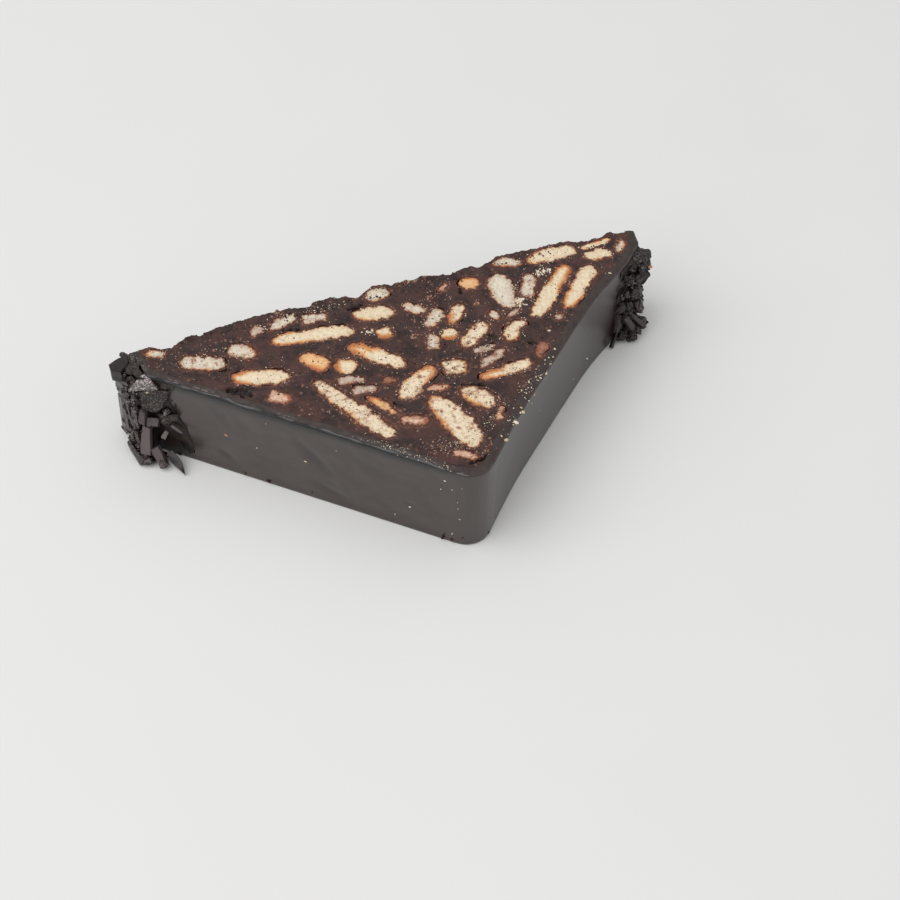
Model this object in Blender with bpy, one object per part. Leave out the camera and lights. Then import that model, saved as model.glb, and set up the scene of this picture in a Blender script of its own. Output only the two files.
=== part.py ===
"""A cut slice of a chocolate biscuit log, lying on its side with one cut face up.

The slice is a dark fudge mass full of broken biscuit, cut across, so every biscuit piece runs through it.
A smooth ganache coat covers the log's two front sides and wraps both of its base corners, where chopped
chocolate flakes stick to it. The log's rough base is the back of the slice.

Scene units are metres, +Z up. X runs along the base, Y from the rounded ridge to the base, Z through the
slice. The plan tables are in millimetres, measured from the middle of the base edge of the cut face.
"""
import math
import random
from typing import NamedTuple

import bmesh
import bpy
from mathutils import Matrix, Vector, noise

MM = 0.001

# Slice: thickness, and the middle of the finished slice in the plan tables
SLICE_THICKNESS = 27.1
PLAN_CENTRE = (1.3, -26.3)

# Gap between pieces that touch, coat thickness, and how far the biscuit stops above the rest face
GAP = 0.3
COAT_THICKNESS = 2.2
BISCUIT_LIFT = 0.2

# Plan of the coat's outer face, from the left end of the base round the ridge to the right end
LEFT_END = ((-66.5, 2.2), (-64.8, -6.0))
RIDGE_CORNER = (4.5, -64.4)
RIDGE_RADIUS = 6.5
RIDGE_STEPS = 12
RIGHT_SIDE = ((20.2, -46.3), (45.9, -21.2), (54.7, -12.9), (66.5, -4.6), (71.2, -1.0))
RIGHT_END = (72.2, 6.4)

# Plan of the rough base, left to right, as its bumps show at the edge of the cut face
BASE_EDGE = (
    (-66.5, 2.2), (-62.9, 3.5), (-59.7, 2.8), (-56.8, 0.9), (-52.4, 3.3), (-50.3, 4.3), (-48.3, 2.9),
    (-45.6, 4.3), (-36.9, 5.6), (-22.8, 5.9), (-20.5, 4.6), (-15.9, 6.6), (-9.9, 5.8), (-5.7, 4.2),
    (-3.2, 6.5), (1.1, 7.4), (3.4, 5.9), (7.3, 7.0), (10.5, 6.0), (12.0, 7.1), (19.6, 5.1), (25.4, 7.2),
    (27.5, 5.4), (34.0, 8.2), (54.3, 7.8), (56.1, 6.6), (62.4, 6.7), (65.8, 7.8), (68.1, 6.5), (72.2, 6.4),
)
BASE_COLUMN_STEP = 2.0
BASE_ROWS = 9
BASE_CRAG_DEPTH = 1.3
BASE_CRAG_SIZE = 4.5

# Biscuit outlines: squareness of the rounded slab, spacing of outline points, and depth of the chips
SQUARENESS = 2.7
OUTLINE_STEP = 2.6
OUTLINE_POINTS = (10, 24)
CHIP_OUT = 0.15
CHIP_IN = 0.45
CURVE_SAMPLES = 120


class Biscuit(NamedTuple):
    """One piece of biscuit on the cut face: plan place, length, width (mm), turn (degrees) and shape.

    taper narrows the far end and widens the near one by that share, and bow bends the middle sideways.
    """
    x: float
    y: float
    length: float
    width: float
    turn: float
    taper: float = 0.0
    bow: float = 0.0


BISCUITS = (
    Biscuit(-60.4, 0.4, 5.6, 3.2, -25),
    Biscuit(-49.6, -6.4, 12.8, 5.6, -20, 0.1),
    Biscuit(-39.2, -5.3, 8.2, 5.2, -32, 0.15),
    Biscuit(-34.0, 0.4, 4.2, 3.6, 20),
    Biscuit(-26.9, 1.4, 8.6, 4.0, 15, -0.1),
    Biscuit(-18.9, 0.5, 7.4, 4.0, -4),
    Biscuit(-20.8, -5.6, 22.2, 5.0, -7, 0.0, 0.4),
    Biscuit(-22.9, -14.3, 9.0, 5.4, -50),
    Biscuit(-15.8, -17.9, 5.8, 5.2, -40),
    Biscuit(-7.5, -16.9, 16.6, 5.4, -43, 0.05, 0.3),
    Biscuit(-3.8, -2.4, 11.2, 5.4, -10, -0.1),
    Biscuit(-0.6, 3.8, 6.8, 4.8, 8),
    Biscuit(-2.8, -9.8, 5.0, 4.8, 0),
    Biscuit(-34.5, -23.3, 7.2, 4.4, -35, 0.1),
    Biscuit(-37.3, -15.3, 14.8, 5.6, -15, -0.05),
    Biscuit(-18.1, -32.1, 28.0, 5.8, -60, -0.15, -0.4),
    Biscuit(-16.1, -22.9, 8.0, 3.0, -14, 0.15),
    Biscuit(-13.9, -26.8, 7.2, 3.4, -6),
    Biscuit(-7.1, -26.0, 4.2, 2.4, -5),
    Biscuit(-11.1, -33.4, 9.8, 3.1, -55, 0.1),
    Biscuit(-5.0, -40.7, 8.4, 4.0, -14),
    Biscuit(-0.4, -28.5, 14.2, 5.7, 36, 0.1),
    Biscuit(10.2, -26.4, 7.8, 6.2, -10),
    Biscuit(3.9, -31.8, 5.6, 2.2, -6),
    Biscuit(4.0, -43.5, 20.2, 8.0, -72, -0.1, 0.5),
    Biscuit(12.2, -37.8, 10.8, 6.4, -48, -0.1),
    Biscuit(21.9, -31.5, 15.8, 3.9, 6, -0.1, 0.3),
    Biscuit(32.6, -27.4, 5.8, 3.2, 48),
    Biscuit(20.4, -26.4, 9.6, 3.4, 28),
    Biscuit(19.4, -22.6, 6.8, 2.3, 8),
    Biscuit(18.5, -17.5, 11.2, 5.4, 35, -0.1),
    Biscuit(28.8, -18.8, 9.2, 4.6, 42, 0.1),
    Biscuit(25.6, -12.4, 4.2, 3.4, -40),
    Biscuit(30.8, -13.0, 5.2, 2.0, 28),
    Biscuit(31.0, -4.7, 12.8, 6.6, 86, -0.1, 0.4),
    Biscuit(37.7, -5.1, 10.6, 4.5, 66),
    Biscuit(43.0, -8.3, 22.2, 4.8, 46.5, -0.05),
    Biscuit(50.4, -9.0, 18.6, 4.8, 46, -0.05),
    Biscuit(48.0, 4.4, 14.6, 4.8, 4, -0.05),
    Biscuit(35.6, 5.1, 8.0, 4.2, -12, 0.15),
    Biscuit(59.4, 0.8, 7.8, 4.4, 5, -0.05),
    Biscuit(60.9, 4.8, 9.0, 2.0, 8),
    Biscuit(66.3, 2.0, 5.0, 2.6, 60),
    Biscuit(23.4, 0.6, 5.4, 5.0, 70),
    Biscuit(6.7, -3.7, 6.8, 3.6, -45),
    Biscuit(10.6, -8.6, 8.0, 4.0, 47),
    Biscuit(16.4, -8.9, 8.4, 4.2, 50, -0.1),
    Biscuit(12.7, -15.3, 4.6, 4.6, 30),
    Biscuit(7.7, -16.1, 6.4, 3.9, 85, 0.3),
    Biscuit(16.2, 1.0, 4.4, 2.1, 38),
    Biscuit(2.9, -54.6, 6.4, 2.8, -35),
    Biscuit(15.7, -44.6, 4.8, 2.4, 62),
    Biscuit(41.2, -17.6, 3.2, 2.8, 30),
)


class Station(NamedTuple):
    """One stop along a heap of flakes: a place on the coat, and how far the heap stands off it there."""
    x: float
    y: float
    top_reach: float
    foot_reach: float


LEFT_HEAP = (
    Station(-66.4, 1.7, 4.4, 4.0),
    Station(-65.6, -2.2, 4.6, 4.8),
    Station(-64.8, -6.0, 2.6, 6.0),
    Station(-61.6, -8.7, 1.0, 4.8),
    Station(-58.4, -11.3, 0.4, 2.6),
)
RIGHT_HEAP = (
    Station(63.0, -7.1, 0.5, 0.8),
    Station(66.5, -4.6, 2.4, 2.6),
    Station(69.0, -2.8, 2.6, 3.0),
    Station(71.2, -1.0, 1.6, 3.0),
    Station(71.8, 3.4, 0.4, 0.8),
)
HEAP_LEVELS = (0.2, 4.0, 8.5, 13.5, 18.5, 23.0, 26.3)
HEAP_ROOT = 1.3
HEAP_BUMP = 0.7


class Flake(NamedTuple):
    """One chopped flake: plan place and height, three sizes, heading, lift and roll, and corner count."""
    x: float
    y: float
    z: float
    length: float
    width: float
    thickness: float
    heading: float
    lift: float
    roll: float
    corners: int


LEFT_FLAKES = (
    Flake(-65.0, -7.4, 23.4, 8.2, 6.6, 1.3, -21, 5, -48, 3),
    Flake(-63.4, -8.8, 18.6, 9.6, 6.8, 1.4, -19, 6, -58, 5),
    Flake(-59.9, -9.8, 22.4, 4.4, 3.0, 2.0, -40, 0, -40, 5),
    Flake(-67.3, -9.0, 6.8, 10.4, 2.7, 1.4, 53, 71, 80, 4),
    Flake(-64.4, -11.9, 2.5, 7.2, 2.6, 1.7, -70, -18, -30, 4),
    Flake(-60.4, -13.4, 1.5, 7.6, 2.0, 1.6, -80, -10, -20, 3),
    Flake(-59.2, -10.9, 9.8, 5.2, 1.5, 1.3, -30, -25, -40, 4),
    Flake(-63.9, -8.6, 12.6, 4.0, 3.4, 1.5, -30, 10, -60, 5),
    Flake(-60.4, -10.2, 12.4, 3.6, 2.2, 1.4, -40, 0, -60, 4),
    Flake(-61.8, -9.6, 6.4, 3.2, 2.4, 1.2, 20, 60, -70, 4),
    Flake(-70.3, -7.6, 3.4, 7.4, 3.0, 1.2, -62, -48, 40, 3),
    Flake(-67.8, -10.6, 1.4, 4.2, 3.4, 2.2, 10, 5, 10, 5),
    Flake(-70.4, -3.8, 20.6, 8.4, 3.6, 1.0, 70, 78, 20, 4),
    Flake(-70.6, -5.4, 14.8, 8.8, 3.2, 0.9, 60, 80, 30, 3),
    Flake(-70.6, -6.3, 9.0, 7.6, 3.0, 1.0, 75, 76, 10, 4),
    Flake(-69.6, 0.4, 24.0, 5.4, 5.0, 4.6, 10, 5, 5, 5),
    Flake(-68.0, -2.6, 24.8, 4.6, 3.6, 2.6, -40, 10, -10, 5),
)
RIGHT_FLAKES = (
    Flake(72.0, -4.4, 23.6, 4.6, 3.6, 2.8, 40, 10, 20, 5),
    Flake(69.2, -5.6, 24.0, 4.2, 3.2, 2.4, -20, 5, -20, 5),
    Flake(70.3, -5.8, 21.4, 4.0, 3.0, 2.2, 30, 20, -30, 4),
    Flake(65.6, -6.6, 24.4, 3.4, 2.4, 1.8, 50, 10, -20, 5),
    Flake(70.0, -5.8, 17.0, 4.8, 3.8, 2.6, 10, 15, -40, 5),
    Flake(66.2, -6.6, 17.6, 4.0, 2.8, 2.0, 45, 40, -50, 4),
    Flake(70.4, -5.4, 11.2, 4.0, 3.2, 2.4, 60, 30, -20, 5),
    Flake(66.6, -6.6, 13.6, 3.6, 2.4, 1.8, 30, 60, -40, 4),
    Flake(68.4, -6.4, 7.8, 4.6, 1.8, 1.4, 20, 62, -60, 4),
    Flake(70.0, -6.4, 8.8, 4.4, 1.7, 1.4, -30, 58, -40, 4),
    Flake(71.6, -5.8, 4.6, 4.8, 3.6, 2.4, 15, 10, -30, 5),
    Flake(69.8, -6.2, 3.4, 4.4, 2.6, 2.0, -40, 30, -30, 5),
    Flake(68.4, -6.2, 1.7, 3.8, 2.8, 2.2, 10, 0, -20, 5),
    Flake(65.6, -6.8, 4.4, 4.6, 1.8, 1.4, 50, 64, -50, 4),
    Flake(72.2, -4.8, 1.7, 4.0, 2.8, 2.0, 40, 5, 0, 5),
)


class Filler(NamedTuple):
    """The smaller flakes of a heap: how many, the range of each size, and the seed of the draw."""
    count: int
    length: tuple[float, float]
    width: tuple[float, float]
    thickness: tuple[float, float]
    seed: int


LEFT_FILLER = Filler(26, (3.6, 7.0), (2.0, 3.8), (0.7, 1.2), 11)
RIGHT_FILLER = Filler(24, (2.6, 4.4), (1.9, 3.2), (1.3, 2.2), 23)
BISCUIT_SEED = 100
FLAKE_SEED = 500

FUDGE_BROWN = (0.072, 0.045, 0.038)
COAT_BROWN = (0.030, 0.024, 0.021)
BISCUIT_CREAM = (0.72, 0.56, 0.36)


def clear_scene() -> None:
    """Remove every object that a new file holds."""
    for item in list(bpy.data.objects):
        bpy.data.objects.remove(item, do_unlink=True)


def food_material(name: str, colour: tuple[float, float, float], roughness: float) -> bpy.types.Material:
    """Return a plain Principled material of one linear colour and roughness."""
    material = bpy.data.materials.new(name)
    material.use_nodes = True
    shader = material.node_tree.nodes["Principled BSDF"]
    shader.inputs["Base Color"].default_value = (*colour, 1.0)
    shader.inputs["Roughness"].default_value = roughness
    shader.inputs["Metallic"].default_value = 0.0
    return material


def add_object(name: str, shape: bmesh.types.BMesh, parent: bpy.types.Object | None,
               material: bpy.types.Material | None = None) -> bpy.types.Object:
    """Turn a mesh in millimetres into an object in metres, under the slice's origin."""
    bmesh.ops.scale(shape, vec=(MM, MM, MM), verts=shape.verts)
    bmesh.ops.recalc_face_normals(shape, faces=shape.faces)
    mesh = bpy.data.meshes.new(name)
    shape.to_mesh(mesh)
    shape.free()
    if material:
        mesh.materials.append(material)
    item = bpy.data.objects.new(name, mesh)
    bpy.context.scene.collection.objects.link(item)
    item.parent = parent
    return item


def round_corner(before, corner, after, radius: float, steps: int) -> list[Vector]:
    """Return the arc of the given radius that rounds the corner between two straight runs."""
    corner = Vector(corner)
    to_before = (Vector(before) - corner).normalized()
    to_after = (Vector(after) - corner).normalized()
    half_angle = to_before.angle(to_after) / 2
    centre = corner + (to_before + to_after).normalized() * (radius / math.sin(half_angle))
    start = corner + to_before * (radius / math.tan(half_angle)) - centre
    finish = corner + to_after * (radius / math.tan(half_angle)) - centre
    sweep = start.angle_signed(finish)
    return [centre + Matrix.Rotation(-sweep * i / steps, 2) @ start for i in range(steps + 1)]


def offset_path(path: list[Vector], distance: float, closed: bool) -> list[Vector]:
    """Return the path moved by a distance to the left of its direction of travel."""
    moved = []
    last = len(path) - 1
    for i, point in enumerate(path):
        before = path[i - 1] if closed or i > 0 else None
        after = path[(i + 1) % len(path)] if closed or i < last else None
        along_in = (point - before).normalized() if before is not None else (after - point).normalized()
        along_out = (after - point).normalized() if after is not None else along_in
        mitre = (along_in + along_out).normalized()
        normal = Vector((-mitre.y, mitre.x))
        moved.append(point + normal * (distance / max(0.5, mitre.dot(along_in))))
    return moved


def coat_outline() -> list[Vector]:
    """Return the coat's outer face in plan, from the left end of the base to the right end."""
    ridge = round_corner(LEFT_END[1], RIDGE_CORNER, RIGHT_SIDE[0], RIDGE_RADIUS, RIDGE_STEPS)
    return [Vector(p) for p in LEFT_END] + ridge + [Vector(p) for p in RIGHT_SIDE] + [Vector(RIGHT_END)]


def base_depth(x: float) -> float:
    """Return how far the rough base reaches at the edge of the cut face, for a place along it."""
    for left, right in zip(BASE_EDGE, BASE_EDGE[1:]):
        if x <= right[0]:
            share = (x - left[0]) / (right[0] - left[0])
            return left[1] + share * (right[1] - left[1])
    return BASE_EDGE[-1][1]


def prism(outline: list[Vector], low: float, high: float) -> bmesh.types.BMesh:
    """Return the closed solid between two heights over one plan outline."""
    shape = bmesh.new()
    foot = shape.faces.new([shape.verts.new((p.x, p.y, low)) for p in outline])
    raised = bmesh.ops.extrude_face_region(shape, geom=[foot], use_keep_orig=True)
    moved = [v for v in raised["geom"] if isinstance(v, bmesh.types.BMVert)]
    bmesh.ops.translate(shape, vec=(0, 0, high - low), verts=moved)
    return shape


def stacked_loops(loops: list[list[Vector]]) -> bmesh.types.BMesh:
    """Return the closed solid through a stack of rings that hold equal numbers of points."""
    shape = bmesh.new()
    rings = [[shape.verts.new(p) for p in loop] for loop in loops]
    for lower, upper in zip(rings, rings[1:]):
        for i, vert in enumerate(lower):
            j = (i + 1) % len(lower)
            quad = shape.faces.new((vert, lower[j], upper[j], upper[i]))
            bmesh.ops.triangulate(shape, faces=[quad])
    shape.faces.new(list(reversed(rings[0])))
    shape.faces.new(rings[-1])
    return shape


def fudge_mass(parent: bpy.types.Object) -> bpy.types.Object:
    """Build the fudge: smooth where the coat lies on it, craggy along the log's base."""
    front = offset_path(coat_outline(), COAT_THICKNESS + GAP, closed=False)
    first_x = front[-1].x
    columns = round((first_x - front[0].x) / BASE_COLUMN_STEP)
    loops = []
    for row in range(BASE_ROWS):
        height = SLICE_THICKNESS * row / (BASE_ROWS - 1)
        below_cut = min(1.0, (SLICE_THICKNESS - height) / BASE_CRAG_SIZE)
        loop = [Vector((p.x, p.y, height)) for p in front[1:-1]]
        for column in range(columns + 1):
            x = first_x + (front[0].x - first_x) * column / columns
            bump = 0.5 + noise.noise(Vector((x / BASE_CRAG_SIZE, height / BASE_CRAG_SIZE, 0.0)))
            depth = base_depth(x) + BASE_CRAG_DEPTH * max(0.0, bump) * below_cut
            loop.append(Vector((x, depth, height)))
        loops.append(loop)
    return add_object("fudge_mass", stacked_loops(loops), parent, food_material("fudge", FUDGE_BROWN, 0.6))


def biscuit_outline(piece: Biscuit, seed: int) -> list[Vector]:
    """Return the chipped plan outline of one biscuit piece, counter-clockwise."""
    draw = random.Random(seed)
    curve = []
    for i in range(CURVE_SAMPLES):
        angle = math.tau * i / CURVE_SAMPLES
        u = math.copysign(abs(math.cos(angle)) ** (2 / SQUARENESS), math.cos(angle))
        v = math.copysign(abs(math.sin(angle)) ** (2 / SQUARENESS), math.sin(angle))
        across = v * piece.width / 2 * (1 - piece.taper * u) + piece.bow * (1 - u * u)
        curve.append(Vector((u * piece.length / 2, across)))
    steps = [(q - p).length for p, q in zip(curve, curve[1:] + curve[:1])]
    fewest, most = OUTLINE_POINTS
    count = max(fewest, min(most, round(sum(steps) / OUTLINE_STEP)))
    spacing = sum(steps) / count
    place = Matrix.Rotation(math.radians(piece.turn), 2)
    outline = []
    walked = 0.0
    for point, step in zip(curve, steps):
        if walked >= spacing * len(outline) and len(outline) < count:
            chipped = point + point.normalized() * draw.uniform(-CHIP_IN, CHIP_OUT)
            outline.append(place @ chipped + Vector((piece.x, piece.y)))
        walked += step
    return outline


def biscuit_pieces(parent: bpy.types.Object) -> bpy.types.Object:
    """Build every biscuit piece, and return the cutter that opens a pocket for each of them."""
    pockets = bmesh.new()
    crumb = food_material("biscuit", BISCUIT_CREAM, 0.8)
    for number, piece in enumerate(BISCUITS, start=1):
        outline = biscuit_outline(piece, BISCUIT_SEED + number)
        add_object(f"biscuit_{number:02d}", prism(outline, BISCUIT_LIFT, SLICE_THICKNESS), parent, crumb)
        pocket = prism(offset_path(outline, -GAP, closed=True), -GAP, SLICE_THICKNESS + GAP)
        mesh = bpy.data.meshes.new("pocket")
        pocket.to_mesh(mesh)
        pocket.free()
        pockets.from_mesh(mesh)
        bpy.data.meshes.remove(mesh)
    cutter = add_object("pockets", pockets, parent)
    cutter.hide_render = True
    cutter.display_type = "WIRE"
    return cutter


def heap_normal(stations: tuple[Station, ...], index: int) -> Vector:
    """Return the direction away from the coat at one station of a heap."""
    before = stations[max(0, index - 1)]
    after = stations[min(len(stations) - 1, index + 1)]
    along = Vector((after.x - before.x, after.y - before.y)).normalized()
    return Vector((along.y, -along.x))


def heap_point(stations: tuple[Station, ...], share: float, height: float) -> tuple[Vector, Vector]:
    """Return a point on a heap's face and the direction out of it, for a share of its length."""
    scaled = share * (len(stations) - 1)
    index = min(int(scaled), len(stations) - 2)
    part = scaled - index
    first, second = stations[index], stations[index + 1]
    out = heap_normal(stations, index).lerp(heap_normal(stations, index + 1), part).normalized()
    rise = height / SLICE_THICKNESS
    reach = [s.foot_reach + (s.top_reach - s.foot_reach) * rise for s in (first, second)]
    root = Vector((first.x, first.y)).lerp(Vector((second.x, second.y)), part)
    return root + out * (reach[0] + (reach[1] - reach[0]) * part), out


def heap_core(stations: tuple[Station, ...]) -> bmesh.types.BMesh:
    """Return the lumpy body of a heap, rooted in the coat."""
    loops = []
    for height in HEAP_LEVELS:
        outer, inner = [], []
        for index, station in enumerate(stations):
            face, out = heap_point(stations, index / (len(stations) - 1), height)
            bump = HEAP_BUMP * noise.noise(Vector((station.x, station.y, height)) / 3.0)
            outer.append(Vector((*(face + out * (bump - HEAP_BUMP / 2)), height)))
            inner.append(Vector((*(Vector((station.x, station.y)) - out * HEAP_ROOT), height)))
        loops.append(outer + inner[::-1])
    return stacked_loops(loops)


def flake_solid(flake: Flake, seed: int) -> bmesh.types.BMesh:
    """Return one chopped flake: an uneven slab with a few corners, laid where it sticks."""
    draw = random.Random(seed)
    shape = bmesh.new()
    rim = []
    for corner in range(flake.corners):
        angle = math.tau * (corner + draw.uniform(-0.12, 0.12)) / flake.corners
        reach = draw.uniform(0.88, 1.08)
        rim.append(Vector((math.cos(angle) * reach * flake.length / 2, math.sin(angle) * reach * flake.width / 2)))
    for side in (-1, 1):
        shrink = 1.0 if side < 0 else draw.uniform(0.82, 0.95)
        ring = [shape.verts.new((p.x * shrink, p.y * shrink, side * flake.thickness / 2)) for p in rim]
        shape.faces.new(ring if side > 0 else ring[::-1])
    shape.verts.ensure_lookup_table()
    for i in range(flake.corners):
        j = (i + 1) % flake.corners
        shape.faces.new([shape.verts[k] for k in (i, j, j + flake.corners, i + flake.corners)])
    turn = Matrix.Rotation(math.radians(flake.heading), 3, "Z")
    lift = Matrix.Rotation(math.radians(-flake.lift), 3, "Y")
    roll = Matrix.Rotation(math.radians(flake.roll), 3, "X")
    bmesh.ops.transform(shape, matrix=(turn @ lift @ roll).to_4x4(), verts=shape.verts)
    bmesh.ops.translate(shape, vec=(flake.x, flake.y, flake.z), verts=shape.verts)
    sunk = min(v.co.z for v in shape.verts) - GAP
    proud = max(v.co.z for v in shape.verts) - (SLICE_THICKNESS - GAP)
    bmesh.ops.translate(shape, vec=(0, 0, -min(sunk, 0.0) - max(proud, 0.0)), verts=shape.verts)
    bmesh.ops.triangulate(shape, faces=shape.faces)
    return shape


def filler_flakes(stations: tuple[Station, ...], filler: Filler) -> list[Flake]:
    """Return the smaller flakes of a heap, spread evenly over its face in uneven sizes and turns."""
    draw = random.Random(filler.seed)
    flakes = []
    for i in range(filler.count):
        share = (i * 0.618 + draw.uniform(0.0, 0.1)) % 1.0
        height = 1.0 + (SLICE_THICKNESS - 3.0) * (i + draw.random()) / filler.count
        face, out = heap_point(stations, share, height)
        heading = math.degrees(math.atan2(out.y, out.x)) + draw.uniform(55, 125)
        sizes = [draw.uniform(*limits) for limits in filler[1:4]]
        turns = (heading, draw.uniform(-75, 75), draw.uniform(50, 130))
        flakes.append(Flake(face.x, face.y, height, *sizes, *turns, draw.choice((3, 4, 4, 5))))
    return flakes


def ganache_coat(parent: bpy.types.Object) -> bpy.types.Object:
    """Build the coat as one wall round the ridge, with both heaps of flakes fused to it."""
    outer = coat_outline()
    inner = offset_path(outer, COAT_THICKNESS, closed=False)
    inner[0].y = base_depth(inner[0].x)
    inner[-1].y = base_depth(inner[-1].x)
    coat = add_object("ganache_coat", prism(outer + inner[::-1], 0.0, SLICE_THICKNESS), parent,
                      food_material("ganache", COAT_BROWN, 0.35))
    heaps = bpy.data.collections.new("flake_heaps")
    bpy.context.scene.collection.children.link(heaps)
    solids = [heap_core(LEFT_HEAP), heap_core(RIGHT_HEAP)]
    flakes = (*LEFT_FLAKES, *RIGHT_FLAKES, *filler_flakes(LEFT_HEAP, LEFT_FILLER),
              *filler_flakes(RIGHT_HEAP, RIGHT_FILLER))
    solids += [flake_solid(flake, FLAKE_SEED + i) for i, flake in enumerate(flakes)]
    for solid in solids:
        item = add_object("flake", solid, parent)
        bpy.context.scene.collection.objects.unlink(item)
        heaps.objects.link(item)
    union = coat.modifiers.new("fuse_flakes", "BOOLEAN")
    union.operation = "UNION"
    union.operand_type = "COLLECTION"
    union.collection = heaps
    union.solver = "MANIFOLD"
    bpy.context.view_layer.objects.active = coat
    bpy.ops.object.modifier_apply(modifier=union.name)
    for item in list(heaps.objects):
        bpy.data.objects.remove(item, do_unlink=True)
    bpy.data.collections.remove(heaps)
    return coat


def main() -> None:
    """Build the whole slice about the middle of its rest face."""
    clear_scene()
    origin = bpy.data.objects.new("slice_origin", None)
    bpy.context.scene.collection.objects.link(origin)
    origin.location = (-PLAN_CENTRE[0] * MM, -PLAN_CENTRE[1] * MM, 0.0)
    fudge = fudge_mass(origin)
    cut = fudge.modifiers.new("biscuit_pockets", "BOOLEAN")
    cut.operation = "DIFFERENCE"
    cut.object = biscuit_pieces(origin)
    cut.solver = "MANIFOLD"
    ganache_coat(origin)


main()
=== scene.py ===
"""Looks of a cut slice of chocolate biscuit log, lying with one cut face up.

A knife went across a cold log of chocolate fudge and broken biscuit. The slice shows that cut face, the
smooth ganache coat on the log's two front sides, the rough base at the back, and chopped chocolate flakes
stuck over both base corners. Lengths are millimetres, and plan places are measured on the cut face from the
middle of its base edge.
"""

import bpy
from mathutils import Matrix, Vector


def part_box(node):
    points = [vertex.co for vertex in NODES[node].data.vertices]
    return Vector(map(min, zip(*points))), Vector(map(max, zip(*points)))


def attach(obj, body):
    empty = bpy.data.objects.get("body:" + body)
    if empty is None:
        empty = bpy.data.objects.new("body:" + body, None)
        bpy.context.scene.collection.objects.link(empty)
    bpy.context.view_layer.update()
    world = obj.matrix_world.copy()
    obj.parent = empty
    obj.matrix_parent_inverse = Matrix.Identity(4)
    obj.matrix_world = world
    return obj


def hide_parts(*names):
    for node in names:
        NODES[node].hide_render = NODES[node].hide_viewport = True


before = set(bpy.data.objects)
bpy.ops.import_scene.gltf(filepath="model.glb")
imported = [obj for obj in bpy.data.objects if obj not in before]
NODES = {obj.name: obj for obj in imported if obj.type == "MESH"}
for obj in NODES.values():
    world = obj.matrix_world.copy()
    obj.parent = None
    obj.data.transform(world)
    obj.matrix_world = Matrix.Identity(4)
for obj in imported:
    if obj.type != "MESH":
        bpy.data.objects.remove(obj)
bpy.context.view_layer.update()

import logging
import math
import random
from dataclasses import dataclass, field
from enum import Enum
from typing import Any, Callable

import bmesh
import bpy
import numpy as np
from mathutils import Matrix, Vector, kdtree, noise
from mathutils.bvhtree import BVHTree

Piece = bpy.types.Object
Tree = bpy.types.NodeTree
Node = bpy.types.Node
Socket = bpy.types.NodeSocket

LOG = logging.getLogger("biscuit_log_slice")

MM = 0.001
BODY = "root"
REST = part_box("fudge_mass")[0].z
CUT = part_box("fudge_mass")[1].z

# How near to the cut face a vertex counts as on it, and how far over the rest face the lowest one stays
CUT_MARGIN = 0.01 * MM
FLOOR_GAP = 0.02 * MM

# Where the part's origin lies in the plan tables
PLAN_CENTRE = (1.3, -26.3)

# Sockets of the colour form of the Mix node
MIX_SHARE, MIX_A, MIX_B, MIX_RESULT = 0, 6, 7, 2

# Plan of the coat's outer face, from the left end of the base round the ridge to the right end
LEFT_END = ((-66.5, 2.2), (-64.8, -6.0))
RIDGE_CORNER = (4.5, -64.4)
RIDGE_RADIUS = 6.5
RIGHT_SIDE = ((20.2, -46.3), (45.9, -21.2), (54.7, -12.9), (66.5, -4.6), (71.2, -1.0))
RIGHT_END = (72.2, 6.4)

# The path along that face: the steps of its arc, the longest straight step, and how often its right side is
# eased, from this far left of that side's first point and behind the ridge
ARC_STEPS = 4
STRAIGHT_STEP = 2.5
EASE_PASSES = 8
EASE_FROM = (20.0, 8.0)

# A biscuit's rim: how far out it lies, the height and length of its swells and of its chips, and how much of
# the chips a crust takes away
RIM_OUT = 0.08
RIM_SWELL = (0.3, 2.6)
RIM_CHIPS = ((0.42, 1.2), (0.34, 0.5))
CRUST_CALM = 0.6


def plan(x: float, y: float, height: float = 0.0) -> Vector:
    """Return the place in metres of a plan place and a height in millimetres.

    Args:
        x: Plan place along the base.
        y: Plan place from the base edge, negative towards the ridge.
        height: Height over the rest face.

    Returns:
        The place in the part's frame.
    """
    return Vector(((x - PLAN_CENTRE[0]) * MM, (y - PLAN_CENTRE[1]) * MM, height * MM))


def heading(degrees: float) -> Vector:
    """Return the plan direction at an angle counter-clockwise from +X."""
    angle = math.radians(degrees)
    return Vector((math.cos(angle), math.sin(angle), 0.0))


def per(size: float) -> float:
    """Return the texture scale that gives a pattern of a real size in millimetres."""
    return 1.0 / (size * MM)


def linear(colour: str) -> tuple[float, ...]:
    """Turn an sRGB hex colour into linear RGBA.

    Args:
        colour: A hex value such as "#2E1F1C".

    Returns:
        Four linear channels, the last of them opaque.
    """
    channels = [int(colour[i:i + 2], 16) / 255 for i in (1, 3, 5)]
    return (*[c / 12.92 if c <= 0.04045 else ((c + 0.055) / 1.055) ** 2.4 for c in channels], 1.0)


def add_node(tree: Tree, kind: str, settings: dict | None = None, links: dict | None = None) -> Node:
    """Add a shader node with its settings and links.

    Args:
        tree: The material's node tree.
        kind: The node's type, without the ShaderNode that each one starts with.
        settings: Values by property name, or by socket name or number.
        links: What feeds an input, by its name or number: a socket, or a node whose first output does.

    Returns:
        The new node.
    """
    node = tree.nodes.new(f"ShaderNode{kind}")
    for name, value in (settings or {}).items():
        if isinstance(name, int) or name in node.inputs:
            node.inputs[name].default_value = value
        else:
            setattr(node, name, value)
    for name, source in (links or {}).items():
        tree.links.new(source.outputs[0] if isinstance(source, Node) else source, node.inputs[name])
    return node


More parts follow.
